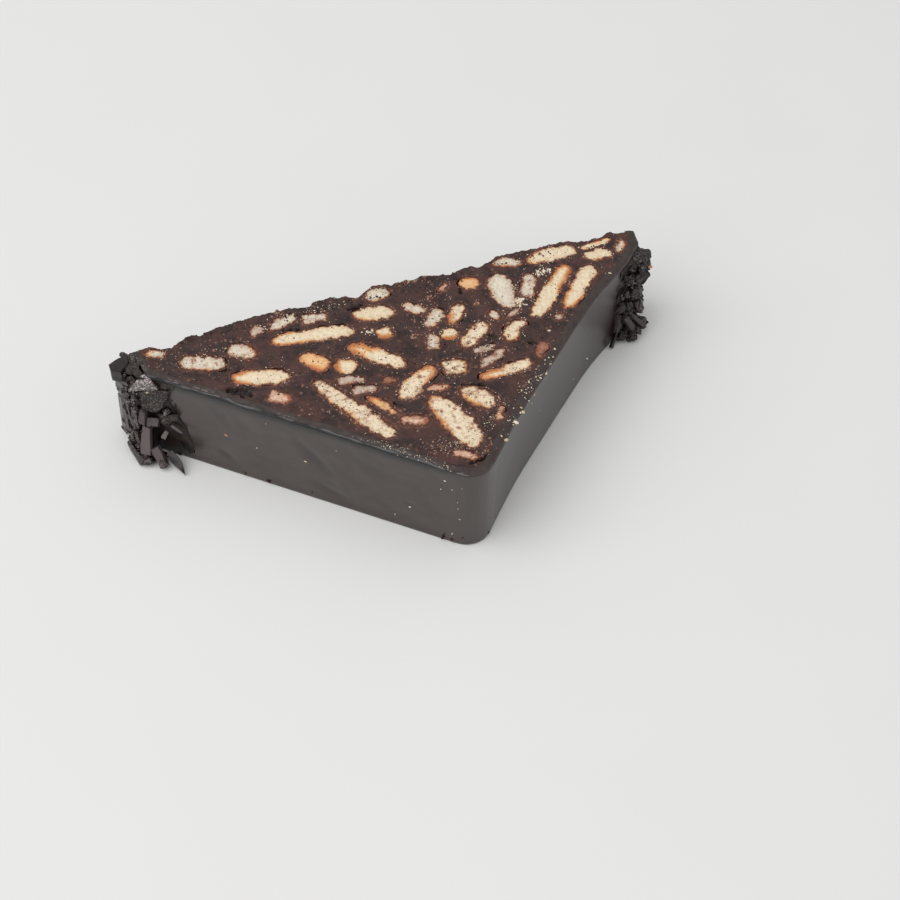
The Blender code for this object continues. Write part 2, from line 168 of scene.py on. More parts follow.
def start_material(name: str, settings: dict, *held: str) -> tuple:
    """Start a material on a Principled shader.

    Args:
        name: The material's name.
        settings: Values of the shader's own sockets.
        held: Names of the numbers that its pieces hold for each vertex.

    Returns:
        The material, its node tree, its shader, and sockets by name: the Object coordinates as place, and
        each number.
    """
    material = bpy.data.materials.new(name)
    material.use_nodes = True
    tree = material.node_tree
    shader = tree.nodes["Principled BSDF"]
    for socket, value in settings.items():
        shader.inputs[socket].default_value = value
    given = {"place": add_node(tree, "TexCoord").outputs["Object"]}
    for number in held:
        given[number] = add_node(tree, "Attribute", {"attribute_name": number}).outputs["Fac"]
    return material, tree, shader, given


def lay_colours(tree: Tree, ground: str, *layers: tuple[str, Node | Socket]) -> Socket:
    """Lay colours over a ground, one after another.

    Args:
        tree: The material's node tree.
        ground: The lowest colour, as a hex value.
        layers: Each layer's hex value, and what says how much of it shows.

    Returns:
        The colour with all the layers.
    """
    below = {}
    for colour, mask in layers:
        mix = add_node(tree, "Mix", {"data_type": "RGBA", MIX_A: linear(ground), MIX_B: linear(colour)},
                       {MIX_SHARE: mask, **below})
        below = {MIX_A: mix.outputs[MIX_RESULT]}
    return below[MIX_A]


def join_surface(tree: Tree, shader: Node, colour: Socket, grain: Node | Socket, strength: float,
                 depth: float) -> None:
    """Give a shader its colour and a bump.

    Args:
        tree: The material's node tree.
        shader: The Principled shader.
        colour: The colour.
        grain: The pattern that the bump follows.
        strength: How much of the bump shows.
        depth: The bump's depth in millimetres.
    """
    bump = add_node(tree, "Bump", {"Strength": strength, "Distance": depth * MM}, {"Height": grain})
    tree.links.new(colour, shader.inputs["Base Color"])
    tree.links.new(bump.outputs[0], shader.inputs["Normal"])


def select_only(piece: Piece) -> None:
    """Deselect everything, then select one piece and make it active."""
    bpy.ops.object.select_all(action="DESELECT")
    piece.select_set(True)
    bpy.context.view_layer.objects.active = piece


def start_piece(name: str, primitive: Callable, **settings: Any) -> Piece:
    """Add a primitive with nothing else selected.

    Args:
        name: The piece's name.
        primitive: The operator that adds it.
        settings: The operator's settings.

    Returns:
        The new object.
    """
    bpy.ops.object.select_all(action="DESELECT")
    primitive(**settings)
    piece = bpy.context.view_layer.objects.active
    piece.name = name
    piece.data.name = name
    return piece


def apply_modifier(piece: Piece, kind: str, **settings: Any) -> None:
    """Give a piece a modifier and apply it.

    Args:
        piece: The object.
        kind: The modifier's type.
        settings: The modifier's settings.
    """
    select_only(piece)
    bpy.ops.object.modifier_add(type=kind)
    modifier = piece.modifiers[-1]
    for name, value in settings.items():
        setattr(modifier, name, value)
    bpy.ops.object.modifier_apply(modifier=modifier.name)


def combine(piece: Piece, other: Piece, operation: str) -> None:
    """Cut a piece by another closed solid, or keep what they share, and remove the other.

    Args:
        piece: The object that stays.
        other: The tool.
        operation: "INTERSECT" or "DIFFERENCE".
    """
    apply_modifier(piece, "BOOLEAN", object=other, operation=operation, solver="MANIFOLD")
    bpy.data.objects.remove(other, do_unlink=True)


def press_down(piece: Piece, depth: float, group: str) -> None:
    """Lower a piece by a depth in millimetres where a vertex group has weight."""
    apply_modifier(piece, "DISPLACE", direction="Z", strength=-depth * MM, mid_level=0.0, vertex_group=group)


def keep_off_floor(piece: Piece) -> None:
    """Lift what hangs under the rest face to just over it."""
    for vertex in piece.data.vertices:
        vertex.co.z = max(vertex.co.z, REST + FLOOR_GAP)


def join(pieces: list[Piece]) -> Piece:
    """Join pieces into one.

    Args:
        pieces: The objects, of which the first one stays.

    Returns:
        The first one, with all the meshes.
    """
    bpy.ops.object.select_all(action="DESELECT")
    for piece in pieces:
        piece.select_set(True)
    bpy.context.view_layer.objects.active = pieces[0]
    bpy.ops.object.join()
    return pieces[0]


def extrude_all(height: float) -> None:
    """Go into edit mode and extrude the whole mesh up, or down by a height below zero."""
    bpy.ops.object.mode_set(mode="EDIT")
    bpy.ops.mesh.select_all(action="SELECT")
    bpy.ops.mesh.extrude_region_move(TRANSFORM_OT_translate={"value": (0, 0, height)})


def face_outwards() -> None:
    """In edit mode, turn every face of a closed mesh outwards."""
    bpy.ops.mesh.select_all(action="SELECT")
    bpy.ops.mesh.normals_make_consistent(inside=False)


def cut_walls(piece: Piece, height: float, cuts: int) -> None:
    """In edit mode, cut a solid's upright edges, and so its walls, into bands.

    Args:
        piece: The solid in edit mode.
        height: Its height.
        cuts: How many cuts each edge gets.
    """
    bpy.ops.mesh.select_mode(type="EDGE")
    bpy.ops.mesh.select_all(action="DESELECT")
    shape = bmesh.from_edit_mesh(piece.data)
    for edge in shape.edges:
        if abs(edge.verts[0].co.z - edge.verts[1].co.z) > height / 2:
            edge.select_set(True)
    shape.select_flush_mode()
    bmesh.update_edit_mesh(piece.data)
    bpy.ops.mesh.subdivide(number_cuts=cuts)


def solid_over(name: str, outline: list[Vector], low: float, high: float, levels: int = 1) -> Piece:
    """Shape a filled circle to a plan outline and extrude it up.

    Args:
        name: The piece's name.
        outline: Plan points in metres.
        low: Height of its foot.
        high: Height of its top.
        levels: How many bands its walls have.

    Returns:
        The closed solid.
    """
    piece = start_piece(name, bpy.ops.mesh.primitive_circle_add, vertices=len(outline), radius=1.0,
                        fill_type="NGON")
    for vertex, point in zip(piece.data.vertices, outline):
        vertex.co = (point.x, point.y, low)
    extrude_all(high - low)
    if levels > 1:
        cut_walls(piece, high - low, levels - 1)
    face_outwards()
    bpy.ops.object.mode_set(mode="OBJECT")
    return piece


def gridded_slab(name: str, low: Vector, high: Vector, spacing: float) -> Piece:
    """Build a block whose top is a fine grid.

    Args:
        name: The piece's name.
        low: Its lowest corner.
        high: Its highest corner.
        spacing: The grid's spacing in millimetres.

    Returns:
        The closed solid.
    """
    size = high - low
    counts = [max(2, round(side / (spacing * MM))) for side in (size.x, size.y)]
    piece = start_piece(name, bpy.ops.mesh.primitive_grid_add, x_subdivisions=counts[0],
                        y_subdivisions=counts[1], size=1.0)
    for vertex in piece.data.vertices:
        share = vertex.co + Vector((0.5, 0.5, 0.0))
        vertex.co = (low.x + share.x * size.x, low.y + share.y * size.y, high.z)
    extrude_all(-size.z)
    face_outwards()
    bpy.ops.object.mode_set(mode="OBJECT")
    return piece


def smooth_loop(points: list[Vector], spacing: float, closed: bool = True) -> list[Vector]:
    """Draw a smooth curve through plan points, with even steps.

    Args:
        points: The points to pass through, in metres.
        spacing: The step in millimetres.
        closed: Whether the last point joins the first.

    Returns:
        The finer points.
    """
    count = len(points)
    fine = []
    for i in range(count if closed else count - 1):
        picks = [(i + k) % count if closed else min(max(i + k, 0), count - 1) for k in (-1, 0, 1, 2)]
        before, start, finish, after = [points[k] for k in picks]
        steps = max(1, round((finish - start).length / (spacing * MM)))
        for step in range(steps):
            t = step / steps
            bend = (2 * before - 5 * start + 4 * finish - after) * t * t
            twist = (3 * (start - finish) + after - before) * t ** 3
            fine.append(start + ((finish - before) * t + bend + twist) * 0.5)
    if not closed:
        fine.append(points[-1].copy())
    return fine


def shift_loop(points: list[Vector], reach: Callable[[Vector], float], closed: bool = True) -> list[Vector]:
    """Move each point of a plan path to the right of its direction of travel.

    Args:
        points: The path in metres.
        reach: How far each point moves, in millimetres.
        closed: Whether the last point joins the first.

    Returns:
        The moved points.
    """
    last = len(points) - 1
    moved = []
    for i, point in enumerate(points):
        before = points[i - 1] if closed or i > 0 else point
        after = points[(i + 1) % len(points)] if closed or i < last else point
        along = (after - before).normalized()
        moved.append(point + Vector((along.y, -along.x, 0.0)) * (reach(point) * MM))
    return moved


def coat_path(spacing: float) -> list[Vector]:
    """Return the coat's outer face in plan, with the ridge as an arc.

    Args:
        spacing: The step in millimetres.

    Returns:
        Points from the left end of the base to the right end, in metres.
    """
    before, corner, after = plan(*LEFT_END[1]), plan(*RIDGE_CORNER), plan(*RIGHT_SIDE[0])
    to_before, to_after = (before - corner).normalized(), (after - corner).normalized()
    half_angle = to_before.angle(to_after) / 2
    centre = corner + (to_before + to_after).normalized() * (RIDGE_RADIUS * MM / math.sin(half_angle))
    start = corner + to_before * (RIDGE_RADIUS * MM / math.tan(half_angle)) - centre
    sweep = math.pi - 2 * half_angle
    arc = [centre + Matrix.Rotation(sweep * i / ARC_STEPS, 3, "Z") @ start for i in range(ARC_STEPS + 1)]
    corners = [plan(*LEFT_END[0]), before, *arc, *[plan(*p) for p in RIGHT_SIDE], plan(*RIGHT_END)]
    points = [corners[0]]
    for first, second in zip(corners, corners[1:]):
        parts = max(1, round((second - first).length / (STRAIGHT_STEP * MM)))
        points.extend(first.lerp(second, (i + 1) / parts) for i in range(parts))
    past_x, past_y = after.x - EASE_FROM[0] * MM, corner.y + EASE_FROM[1] * MM
    flat = next(i for i, point in enumerate(points) if point.x > past_x and point.y > past_y)
    for _ in range(EASE_PASSES):
        neighbours = zip(points[flat - 1:], points[flat:], points[flat + 1:-2])
        eased = [(a + 2 * b + c) / 4 for a, b, c in neighbours]
        points[flat:flat + len(eased)] = eased
    return smooth_loop(points, spacing, closed=False)


def biscuit_outline(node: str) -> list[Vector]:
    """Read a biscuit's outline at the cut face from its solid.

    Args:
        node: The solid's name.

    Returns:
        Its corners counter-clockwise, in metres.
    """
    vertices = NODES[node].data.vertices
    top = max(v.co.z for v in vertices)
    corners = {(round(v.co.x, 6), round(v.co.y, 6)) for v in vertices if v.co.z > top - CUT_MARGIN}
    points = [Vector((x, y, 0.0)) for x, y in corners]
    centre = sum(points, Vector()) / len(points)
    return sorted(points, key=lambda p: math.atan2(p.y - centre.y, p.x - centre.x))


def chipped_outline(node: str, spacing: float, seed: float, crust_angle: float) -> list[Vector]:
    """Return a biscuit's outline, ragged where its crumb broke and smoother along its crust.

    Args:
        node: The solid's name.
        spacing: The step in millimetres.
        seed: Where the chips' noise is read, so that no two pieces match.
        crust_angle: The plan angle of the crust's side, in degrees.

    Returns:
        The fine outline, counter-clockwise.
    """
    rough = biscuit_outline(node)
    centre = sum(rough, Vector()) / len(rough)
    crust_side = heading(crust_angle)

    def chip(point: Vector) -> float:
        """Return how far the edge stands out at one point."""
        place = Vector((point.x, point.y, seed * MM))
        ragged = 1.0 - CRUST_CALM * max(0.0, (point - centre).normalized().dot(crust_side))
        swell = RIM_SWELL[0] * noise.noise(place / (RIM_SWELL[1] * MM))
        chips = sum(height * noise.noise(place / (length * MM)) for height, length in RIM_CHIPS)
        return RIM_OUT + swell + ragged * chips
    return shift_loop(smooth_loop(rough, spacing), chip)


def nearest_tree(points: list[Vector]) -> kdtree.KDTree:
    """Build a search tree over points, in plan.

    Args:
        points: The points in metres.

    Returns:
        The tree.
    """
    tree = kdtree.KDTree(len(points))
    for i, point in enumerate(points):
        tree.insert((point.x, point.y, 0.0), i)
    tree.balance()
    return tree


def plan_distance(tree: kdtree.KDTree, point: Vector) -> float:
    """Return the plan distance in millimetres from a point to the nearest point of a tree."""
    return tree.find((point.x, point.y, 0.0))[2] / MM


def fade(value: float, start: float, finish: float) -> float:
    """Return a smooth 0 to 1 as a value goes from start to finish."""
    share = min(1.0, max(0.0, (value - start) / (finish - start)))
    return share * share * (3 - 2 * share)


def set_group(piece: Piece, name: str, weights: list[float]) -> None:
    """Give a piece a vertex group.

    Args:
        piece: The object.
        name: The group's name.
        weights: One weight for each vertex.
    """
    group = piece.vertex_groups.new(name=name)
    for i, weight in enumerate(weights):
        if weight > 0.0:
            group.add([i], min(1.0, weight), "REPLACE")


def set_attribute(piece: Piece, name: str, values: list[float]) -> None:
    """Give a piece a number for each vertex, for its material to read."""
    attribute = piece.data.attributes.new(name, "FLOAT", "POINT")
    attribute.data.foreach_set("value", np.array(values, dtype=np.float32))


def finish_piece(piece: Piece, material: bpy.types.Material, angle: float = 40.0) -> None:
    """Shade a piece, give it its material and let it ride on the slice.

    Args:
        piece: The finished object.
        material: Its material.
        angle: Edges sharper than this, in degrees, stay sharp.
    """
    select_only(piece)
    bpy.ops.object.shade_smooth_by_angle(angle=math.radians(angle))
    piece.data.materials.clear()
    piece.data.materials.append(material)
    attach(piece, BODY)


@dataclass(frozen=True)
class Relief:
    """A rough surface that a clouds texture presses into a piece: its grain and height in millimetres.

    level is the texture value that stays where it is, so a high one presses mostly inwards.
    """
    name: str
    size: float
    height: float
    level: float = 0.5
    octaves: int = 1
    direction: str = "Z"

    def press(self, piece: Piece, group: str) -> None:
        """Displace a piece.

        Args:
            piece: The object.
            group: The vertex group that says where, and how much of the height.
        """
        texture = bpy.data.textures.get(self.name)
        if texture is None:
            texture = bpy.data.textures.new(self.name, "CLOUDS")
            texture.noise_scale = self.size * MM
            texture.noise_depth = self.octaves
        apply_modifier(piece, "DISPLACE", texture=texture, texture_coords="LOCAL", direction=self.direction,
                       strength=self.height * MM, mid_level=self.level, vertex_group=group)


SWELL = Relief("knife_swell", 6.0, 0.8, 0.78, 2)
GRAIN = Relief("crumb_grain", 0.8, 0.75, 0.62, 2)
PORES = Relief("biscuit_pores", 0.6, 0.5, 0.62, 1)
CRAGS = Relief("base_crags", 1.6, 1.3, 0.62, 3, "NORMAL")
RIM_NICKS = Relief("rim_nicks", 1.2, 0.6, 0.7, 2)
SIDE_WAVES = Relief("coat_waves", 14.0, 0.3, 0.7, 1, "NORMAL")
SIDE_DENTS = Relief("coat_dents", 6.5, 0.55, 0.8, 1, "NORMAL")
FLAKE_FORM = Relief("flake_form", 1.7, 1.7, 0.55, 2, "NORMAL")
FLAKE_CHIPS = Relief("flake_chips", 0.6, 0.28, 0.6, 2, "NORMAL")


@dataclass(frozen=True)
class FudgeFinish:
    """Chocolate fudge with crushed biscuit, cut cold with a knife.

    The blade leaves the fat satin and brown, and drags out red-brown grains and pale splinters of biscuit.
    """
    dark: str = "#241614"
    brown: str = "#412E2A"
    ruddy: str = "#50302A"
    red: str = "#6B4035"
    rust: str = "#7C4A38"
    pink: str = "#8E6455"
    pale: str = "#CDB49A"
    # hole is painted shade: near-black in the pits pressed into the cut face
    hole: str = "#0D0807"
    tone: float = 3.5
    stretch: float = 7.0
    smear: float = 1.4
    grain: float = 0.7
    splinter: float = 1.2
    speck: float = 0.5
    ragged: float = 0.9
    fine: float = 0.5
    relief: float = 0.2
    satin: tuple[float, float] = (0.42, 0.68)
    ior: float = 1.46

    def material(self) -> bpy.types.Material:
        """Build the material from tone, grains, splinters, smears, painted shade in the pits, and bump."""
        made, tree, shader, given = start_material("cut_chocolate_fudge", {"IOR": self.ior},
                                                   "grainy", "smear", "sunk")
        place, grainy = given["place"], given["grainy"]
        tone = add_node(tree, "TexNoise", {"Scale": per(self.tone), "Detail": 6.0, "Roughness": 0.7},
                        {"Vector": place})
        brown = add_node(tree, "MapRange", {"From Min": 0.34, "From Max": 0.66}, {"Value": tone})
        stretch = add_node(tree, "TexNoise", {"Scale": per(self.stretch), "Detail": 5.0, "Roughness": 0.65},
                           {"Vector": place})
        warm = add_node(tree, "MapRange", {"From Min": 0.42, "From Max": 0.62, "To Max": 0.75},
                        {"Value": stretch})
        patchy = add_node(tree, "TexNoise", {"Scale": per(self.smear), "Detail": 4.0}, {"Vector": place})
        patch = add_node(tree, "MapRange", {"From Min": 0.4, "From Max": 0.6}, {"Value": patchy})
        dragged = add_node(tree, "Math", {"operation": "MULTIPLY"}, {0: given["smear"], 1: patch})
        bent = self.bent(tree, place)
        grains = self.cells(tree, bent, self.grain, draws=(0.55, 0.95), reach=(0.5, 0.2), where=grainy)
        splinters = self.cells(tree, bent, self.splinter, draws=(0.84, 1.0), reach=(0.42, 0.2))
        specks = self.cells(tree, bent, self.speck, draws=(0.88, 0.96), reach=(0.4, 0.2), where=grainy)
        # The hole layer is painted shade in the pits
        colour = lay_colours(tree, self.dark, (self.brown, brown), (self.ruddy, warm), (self.red, grains),
                             (self.rust, dragged), (self.pink, splinters), (self.pale, specks),
                             (self.hole, given["sunk"]))
        fine = add_node(tree, "TexNoise", {"Scale": per(self.fine), "Detail": 4.0}, {"Vector": place})
        join_surface(tree, shader, colour, fine, strength=0.5, depth=self.relief)
        satin = add_node(tree, "MapRange", {"From Min": 0.3, "From Max": 0.7, "To Min": self.satin[0],
                                            "To Max": self.satin[1]}, {"Value": fine})
        tree.links.new(satin.outputs[0], shader.inputs["Roughness"])
        return made

    def bent(self, tree: Tree, place: Socket) -> Node:
        """Bend coordinates by a fine noise, so that grains have ragged edges.

        Args:
            tree: The material's node tree.
            place: The coordinates.

        Returns:
            The node with the bent ones.
        """
        noisy = add_node(tree, "TexNoise", {"Scale": per(self.grain), "Detail": 3.0}, {"Vector": place})
        small = add_node(tree, "VectorMath", {"operation": "SCALE", "Scale": self.ragged * MM},
                         {0: noisy.outputs["Color"]})
        return add_node(tree, "VectorMath", {"operation": "ADD"}, {0: place, 1: small})

    def cells(self, tree: Tree, place: Node, size: float, draws: tuple[float, float],
              reach: tuple[float, float], where: Socket | None = None) -> Node:
        """Return a mask of scattered grains.

        Args:
            tree: The material's node tree.
            place: The coordinates.
            size: The grains' spacing in millimetres.
            draws: The draw under which a cell is empty, and the one over which it is full.
            reach: Where a grain ends and where it is full, as a share of the spacing.
            where: How much of the grains each place keeps.

        Returns:
            The node with the mask.
        """
        cells = add_node(tree, "TexVoronoi", {"Scale": per(size)}, {"Vector": place})
        draw = add_node(tree, "SeparateColor", {}, {"Color": cells.outputs["Color"]})
        picked = add_node(tree, "MapRange", {"From Min": draws[0], "From Max": draws[1]}, {"Value": draw})
        inside = add_node(tree, "MapRange", {"From Min": reach[0], "From Max": reach[1]},
                          {"Value": cells.outputs["Distance"]})
        grains = add_node(tree, "Math", {"operation": "MULTIPLY"}, {0: picked, 1: inside})
        if where is None:
            return grains
        return add_node(tree, "Math", {"operation": "MULTIPLY"}, {0: grains, 1: where})


@dataclass(frozen=True)
class GanacheFinish:
    """Dark ganache poured over the log and set: a satin skin, nearly black, that mirrors the pale room.

    Where the knife cut it, it is brown and duller, and its rim is pale with scuffing and a painted highlight.
    """
    skin: str = "#312724"
    cloudy: str = "#3E322F"
    # shadow is painted shade: near-black under the left rim and in the dents
    shadow: str = "#080606"
    cut: str = "#2E2422"
    cut_brown: str = "#433531"
    # The pale rim colour: knife scuffing and a painted highlight on the left rim
    pale_scuff_highlight: str = "#756C67"
    cloud: float = 9.0
    film: float = 1.2
    tone: float = 2.2
    grain: float = 0.5
    relief: float = 0.2
    ior: float = 1.5
    gloss: float = 0.9
    roughness: float = 0.29
    cut_roughness: float = 0.52

    def skin_material(self) -> bpy.types.Material:
        """Build the poured skin from clouds, painted shade under the rim and in dents, and a faint bump."""
        made, tree, shader, given = start_material("poured_dark_ganache", {
            "IOR": self.ior, "Roughness": self.roughness, "Specular IOR Level": self.gloss}, "painted_shade", "scuff_highlight")
        place = given["place"]
        cloud = add_node(tree, "TexNoise", {"Scale": per(self.cloud), "Detail": 3.0}, {"Vector": place})
        # The shadow layer is painted shade, under the left rim and in the dents
        colour = lay_colours(tree, self.skin, (self.cloudy, cloud), (self.shadow, given["painted_shade"]),
                             (self.pale_scuff_highlight, self.scuff_highlights(tree, given)))
        film = add_node(tree, "TexNoise", {"Scale": per(self.film), "Detail": 4.0}, {"Vector": place})
        join_surface(tree, shader, colour, film, strength=0.1, depth=self.relief)
        return made

    def cut_material(self) -> bpy.types.Material:
        """Build the cut strip from two browns, the rim's scuffing and painted highlight, and a fine grain."""
        made, tree, shader, given = start_material("cut_dark_ganache", {
            "IOR": self.ior, "Roughness": self.cut_roughness}, "scuff_highlight")
        place = given["place"]
        tone = add_node(tree, "TexNoise", {"Scale": per(self.tone), "Detail": 6.0, "Roughness": 0.7},
                        {"Vector": place})
        brown = add_node(tree, "MapRange", {"From Min": 0.35, "From Max": 0.65}, {"Value": tone})
        colour = lay_colours(tree, self.cut, (self.cut_brown, brown),
                             (self.pale_scuff_highlight, self.scuff_highlights(tree, given)))
        grain = add_node(tree, "TexNoise", {"Scale": per(self.grain), "Detail": 4.0}, {"Vector": place})
        join_surface(tree, shader, colour, grain, strength=0.5, depth=self.relief)
        return made

    def scuff_highlights(self, tree: Tree, given: dict[str, Socket]) -> Node:
        """Return the mask of the pale rim line, knife scuffing and a painted highlight, broken by a fine
        noise.

        Args:
            tree: The material's node tree.
            given: The material's coordinates and numbers.

        Returns:
            The node with the mask.
        """
        streak = add_node(tree, "TexNoise", {"Scale": per(self.grain), "Detail": 5.0},
                          {"Vector": given["place"]})
        broken = add_node(tree, "MapRange", {"From Min": 0.46, "From Max": 0.62}, {"Value": streak})
        return add_node(tree, "Math", {"operation": "MULTIPLY"}, {0: broken, 1: given["scuff_highlight"]})


@dataclass(frozen=True)
class FlakeFinish:
    """Knife-chopped dark chocolate: snapped faces dull brown, some with pale sugared grains and painted
    glints.
    """
    dark: str = "#0E0A09"
    brown: str = "#2E231E"
    # The pale grains: sugared specks, and painted glints on the facets
    sugar_and_glint: str = "#BDB2B0"
    bloom: str = "#6C6061"
    tone: float = 2.5
    grain: float = 0.3
    relief: float = 0.15
    ior: float = 1.46
    roughness: float = 0.3

    def material(self) -> bpy.types.Material:
        """Build the material from tone, sugared grains and painted glints, bloom and bump."""
        made, tree, shader, given = start_material("chopped_dark_chocolate", {
            "IOR": self.ior, "Roughness": self.roughness}, "sugar_glint", "bloomed")
        place = given["place"]
        tone = add_node(tree, "TexNoise", {"Scale": per(self.tone), "Detail": 4.0}, {"Vector": place})
        brown = add_node(tree, "MapRange", {"From Min": 0.35, "From Max": 0.65}, {"Value": tone})
        cells = add_node(tree, "TexVoronoi", {"Scale": per(self.grain)}, {"Vector": place})
        draw = add_node(tree, "SeparateColor", {}, {"Color": cells.outputs["Color"]})
        picked = add_node(tree, "MapRange", {"From Min": 0.55, "From Max": 0.8}, {"Value": draw})
        # pale sugared grains, and painted glints
        grains = add_node(tree, "Math", {"operation": "MULTIPLY"}, {0: picked, 1: given["sugar_glint"]})
        colour = lay_colours(tree, self.dark, (self.brown, brown), (self.sugar_and_glint, grains),
                             (self.bloom, given["bloomed"]))
        join_surface(tree, shader, colour, cells.outputs["Distance"], strength=0.3, depth=self.relief)
        return made


@dataclass(frozen=True)
class BiscuitFinish:
    """Baked butter biscuit, broken and cut: an airy matte crumb that turns golden to brown at its crust.

    The knife drags fudge over it, first as rust and then as dark smears, most at the torn rim.
    """
    name: str
    crumb: str = "#EBD8B9"
    hollow: str = "#D9C09A"
    heart: str = "#F2E3C9"
    golden: str = "#E0A971"
    crust: str = "#BC7142"
    rust: str = "#A06A52"
    smear: str = "#4E3229"
    pore: str = "#4A382C"
    heart_share: float = 0.6
    stained: float = 0.0
    pores: float = 0.9
    air: float = 0.8
    uneven: float = 1.8
    patch: float = 1.7
    pit: float = 0.5
    crowd: float = 3.0
    relief: float = 0.25
    ior: float = 1.45
    roughness: float = 0.85

    def material(self) -> bpy.types.Material:
        """Build the material from crumb, crust, smears and pores."""
        made, tree, shader, given = start_material(self.name, {"IOR": self.ior, "Roughness": self.roughness},
                                                   "core", "bake", "rim", "smeared")
        place = given["place"]
        air = add_node(tree, "TexNoise", {"Scale": per(self.air), "Detail": 5.0}, {"Vector": place})
        hollow = add_node(tree, "MapRange", {"From Min": 0.6, "From Max": 0.38}, {"Value": air})
        heart = add_node(tree, "Math", {"operation": "MULTIPLY", 1: self.heart_share}, {0: given["core"]})
        baked = self.baked(tree, given)
        golden = add_node(tree, "MapRange", {"From Min": 0.12, "From Max": 0.6}, {"Value": baked})
        crust = add_node(tree, "MapRange", {"From Min": 0.55, "From Max": 1.05}, {"Value": baked})
        dirt = self.dirt(tree, given)
        rust = add_node(tree, "MapRange", {"From Min": 0.62, "From Max": 0.72, "To Max": 0.85},
                        {"Value": dirt})
        smear = add_node(tree, "MapRange", {"From Min": 0.72, "From Max": 0.8, "To Max": 0.9},
                         {"Value": dirt})
        colour = lay_colours(tree, self.crumb, (self.hollow, hollow), (self.heart, heart),
                             (self.golden, golden), (self.crust, crust), (self.rust, rust),
                             (self.smear, smear), (self.pore, self.pits(tree, place)))
        join_surface(tree, shader, colour, air, strength=0.6, depth=self.relief)
        return made

    def baked(self, tree: Tree, given: dict[str, Socket]) -> Node:
        """Return how far each place is baked, uneven by a noise.

        Args:
            tree: The material's node tree.
            given: The material's coordinates and numbers.

        Returns:
            The node with the bake.
        """
        uneven = add_node(tree, "TexNoise", {"Scale": per(self.uneven), "Detail": 3.0},
                          {"Vector": given["place"]})
        drift = add_node(tree, "MapRange", {"From Min": 0.3, "From Max": 0.7, "To Min": -0.25,
                                            "To Max": 0.25}, {"Value": uneven})
        return add_node(tree, "Math", {"operation": "ADD"}, {0: given["bake"], 1: drift})

    def dirt(self, tree: Tree, given: dict[str, Socket]) -> Node:
        """Return how much fudge lies on each place: a ragged noise, raised at the rim and on smeared pieces.

        Args:
            tree: The material's node tree.
            given: The material's coordinates and numbers.

        Returns:
            The node with the amount.
        """
        patch = add_node(tree, "TexNoise", {"Scale": per(self.patch), "Detail": 7.0, "Roughness": 0.72},
                         {"Vector": given["place"]})
        edged = add_node(tree, "Math", {"operation": "MULTIPLY_ADD", 1: 0.27},
                         {0: given["rim"], 2: patch})
        spread = add_node(tree, "Math", {"operation": "MULTIPLY_ADD", 1: 0.18},
                          {0: given["smeared"], 2: edged})
        return add_node(tree, "Math", {"operation": "ADD", 1: 0.1 * self.stained}, {0: spread})

    def pits(self, tree: Tree, place: Socket) -> Node:
        """Return the mask of the open pores, which crowd in some places.

        Args:
            tree: The material's node tree.
            place: The coordinates.

        Returns:
            The node with the mask.
        """
        pitted = add_node(tree, "TexNoise", {"Scale": per(self.pit), "Detail": 2.0}, {"Vector": place})
        crowd = add_node(tree, "TexNoise", {"Scale": per(self.crowd), "Detail": 3.0}, {"Vector": place})
        level = add_node(tree, "Math", {"operation": "MULTIPLY_ADD", 1: 0.35}, {0: crowd, 2: pitted})
        limit = 0.95 - 0.12 * self.pores
        return add_node(tree, "MapRange", {"From Min": limit, "From Max": limit + 0.05}, {"Value": level})


@dataclass(frozen=True)
class CrumbFinish:
    """Loose crumbs from the knife: matte, each one in a tint between two shades."""
    name: str
    shade: str
    light: str
    grit: float = 0.2
    relief: float = 0.1
    ior: float = 1.45
    roughness: float = 0.8

    def material(self) -> bpy.types.Material:
        """Build the material from each crumb's own tint."""
        made, tree, shader, given = start_material(self.name, {"IOR": self.ior, "Roughness": self.roughness},
                                                   "tint")
        colour = lay_colours(tree, self.shade, (self.light, given["tint"]))
        grit = add_node(tree, "TexNoise", {"Scale": per(self.grit)}, {"Vector": given["place"]})
        join_surface(tree, shader, colour, grit, strength=0.5, depth=self.relief)
        return made


@dataclass(frozen=True)
class FloorFinish:
    """Matte white paper sweep: pale, even and without gloss."""
    light: str = "#E9E9E7"
    shade: str = "#E6E6E4"
    fibre: float = 60.0
    gloss: float = 0.1
    roughness: float = 0.95

    def material(self) -> bpy.types.Material:
        """Build the material with a faint fibre tone."""
        made, tree, shader, given = start_material("white_paper_floor", {
            "Roughness": self.roughness, "Specular IOR Level": self.gloss})
        fibre = add_node(tree, "TexNoise", {"Scale": per(self.fibre)}, {"Vector": given["place"]})
        tree.links.new(lay_colours(tree, self.light, (self.shade, fibre)), shader.inputs["Base Color"])
        return made


class Bake(Enum):
    """How a piece of biscuit looks where the knife went through it."""
    CREAM = BiscuitFinish("pale_butter_biscuit")
    WHITE = BiscuitFinish("white_butter_biscuit", crumb="#DACCB9", hollow="#BDAB95", heart="#EDE4D1")
    TOASTED = BiscuitFinish("toasted_butter_biscuit", crumb="#E8B986", hollow="#DCA469", heart="#F3CE9F",
                            golden="#DD9A60", crust="#BC6A38", pores=0.3)
    REDDISH = BiscuitFinish("cocoa_reddened_biscuit", crumb="#D9B299", hollow="#BE917A", heart="#EACFB8",
                            golden="#C78B68", crust="#94543C", stained=0.6, pores=0.3)
    GREY = BiscuitFinish("cocoa_dusted_biscuit", crumb="#CFB9A8", hollow="#A8917F", heart="#E2D3C5",
                         golden="#BFA084", crust="#8A6A54", stained=0.4, pores=0.7)
    BROWN = BiscuitFinish("cocoa_soaked_biscuit", crumb="#A87660", hollow="#83523F", heart="#BC8E77",
                          golden="#9A6048", crust="#6E3C2C", stained=0.6)


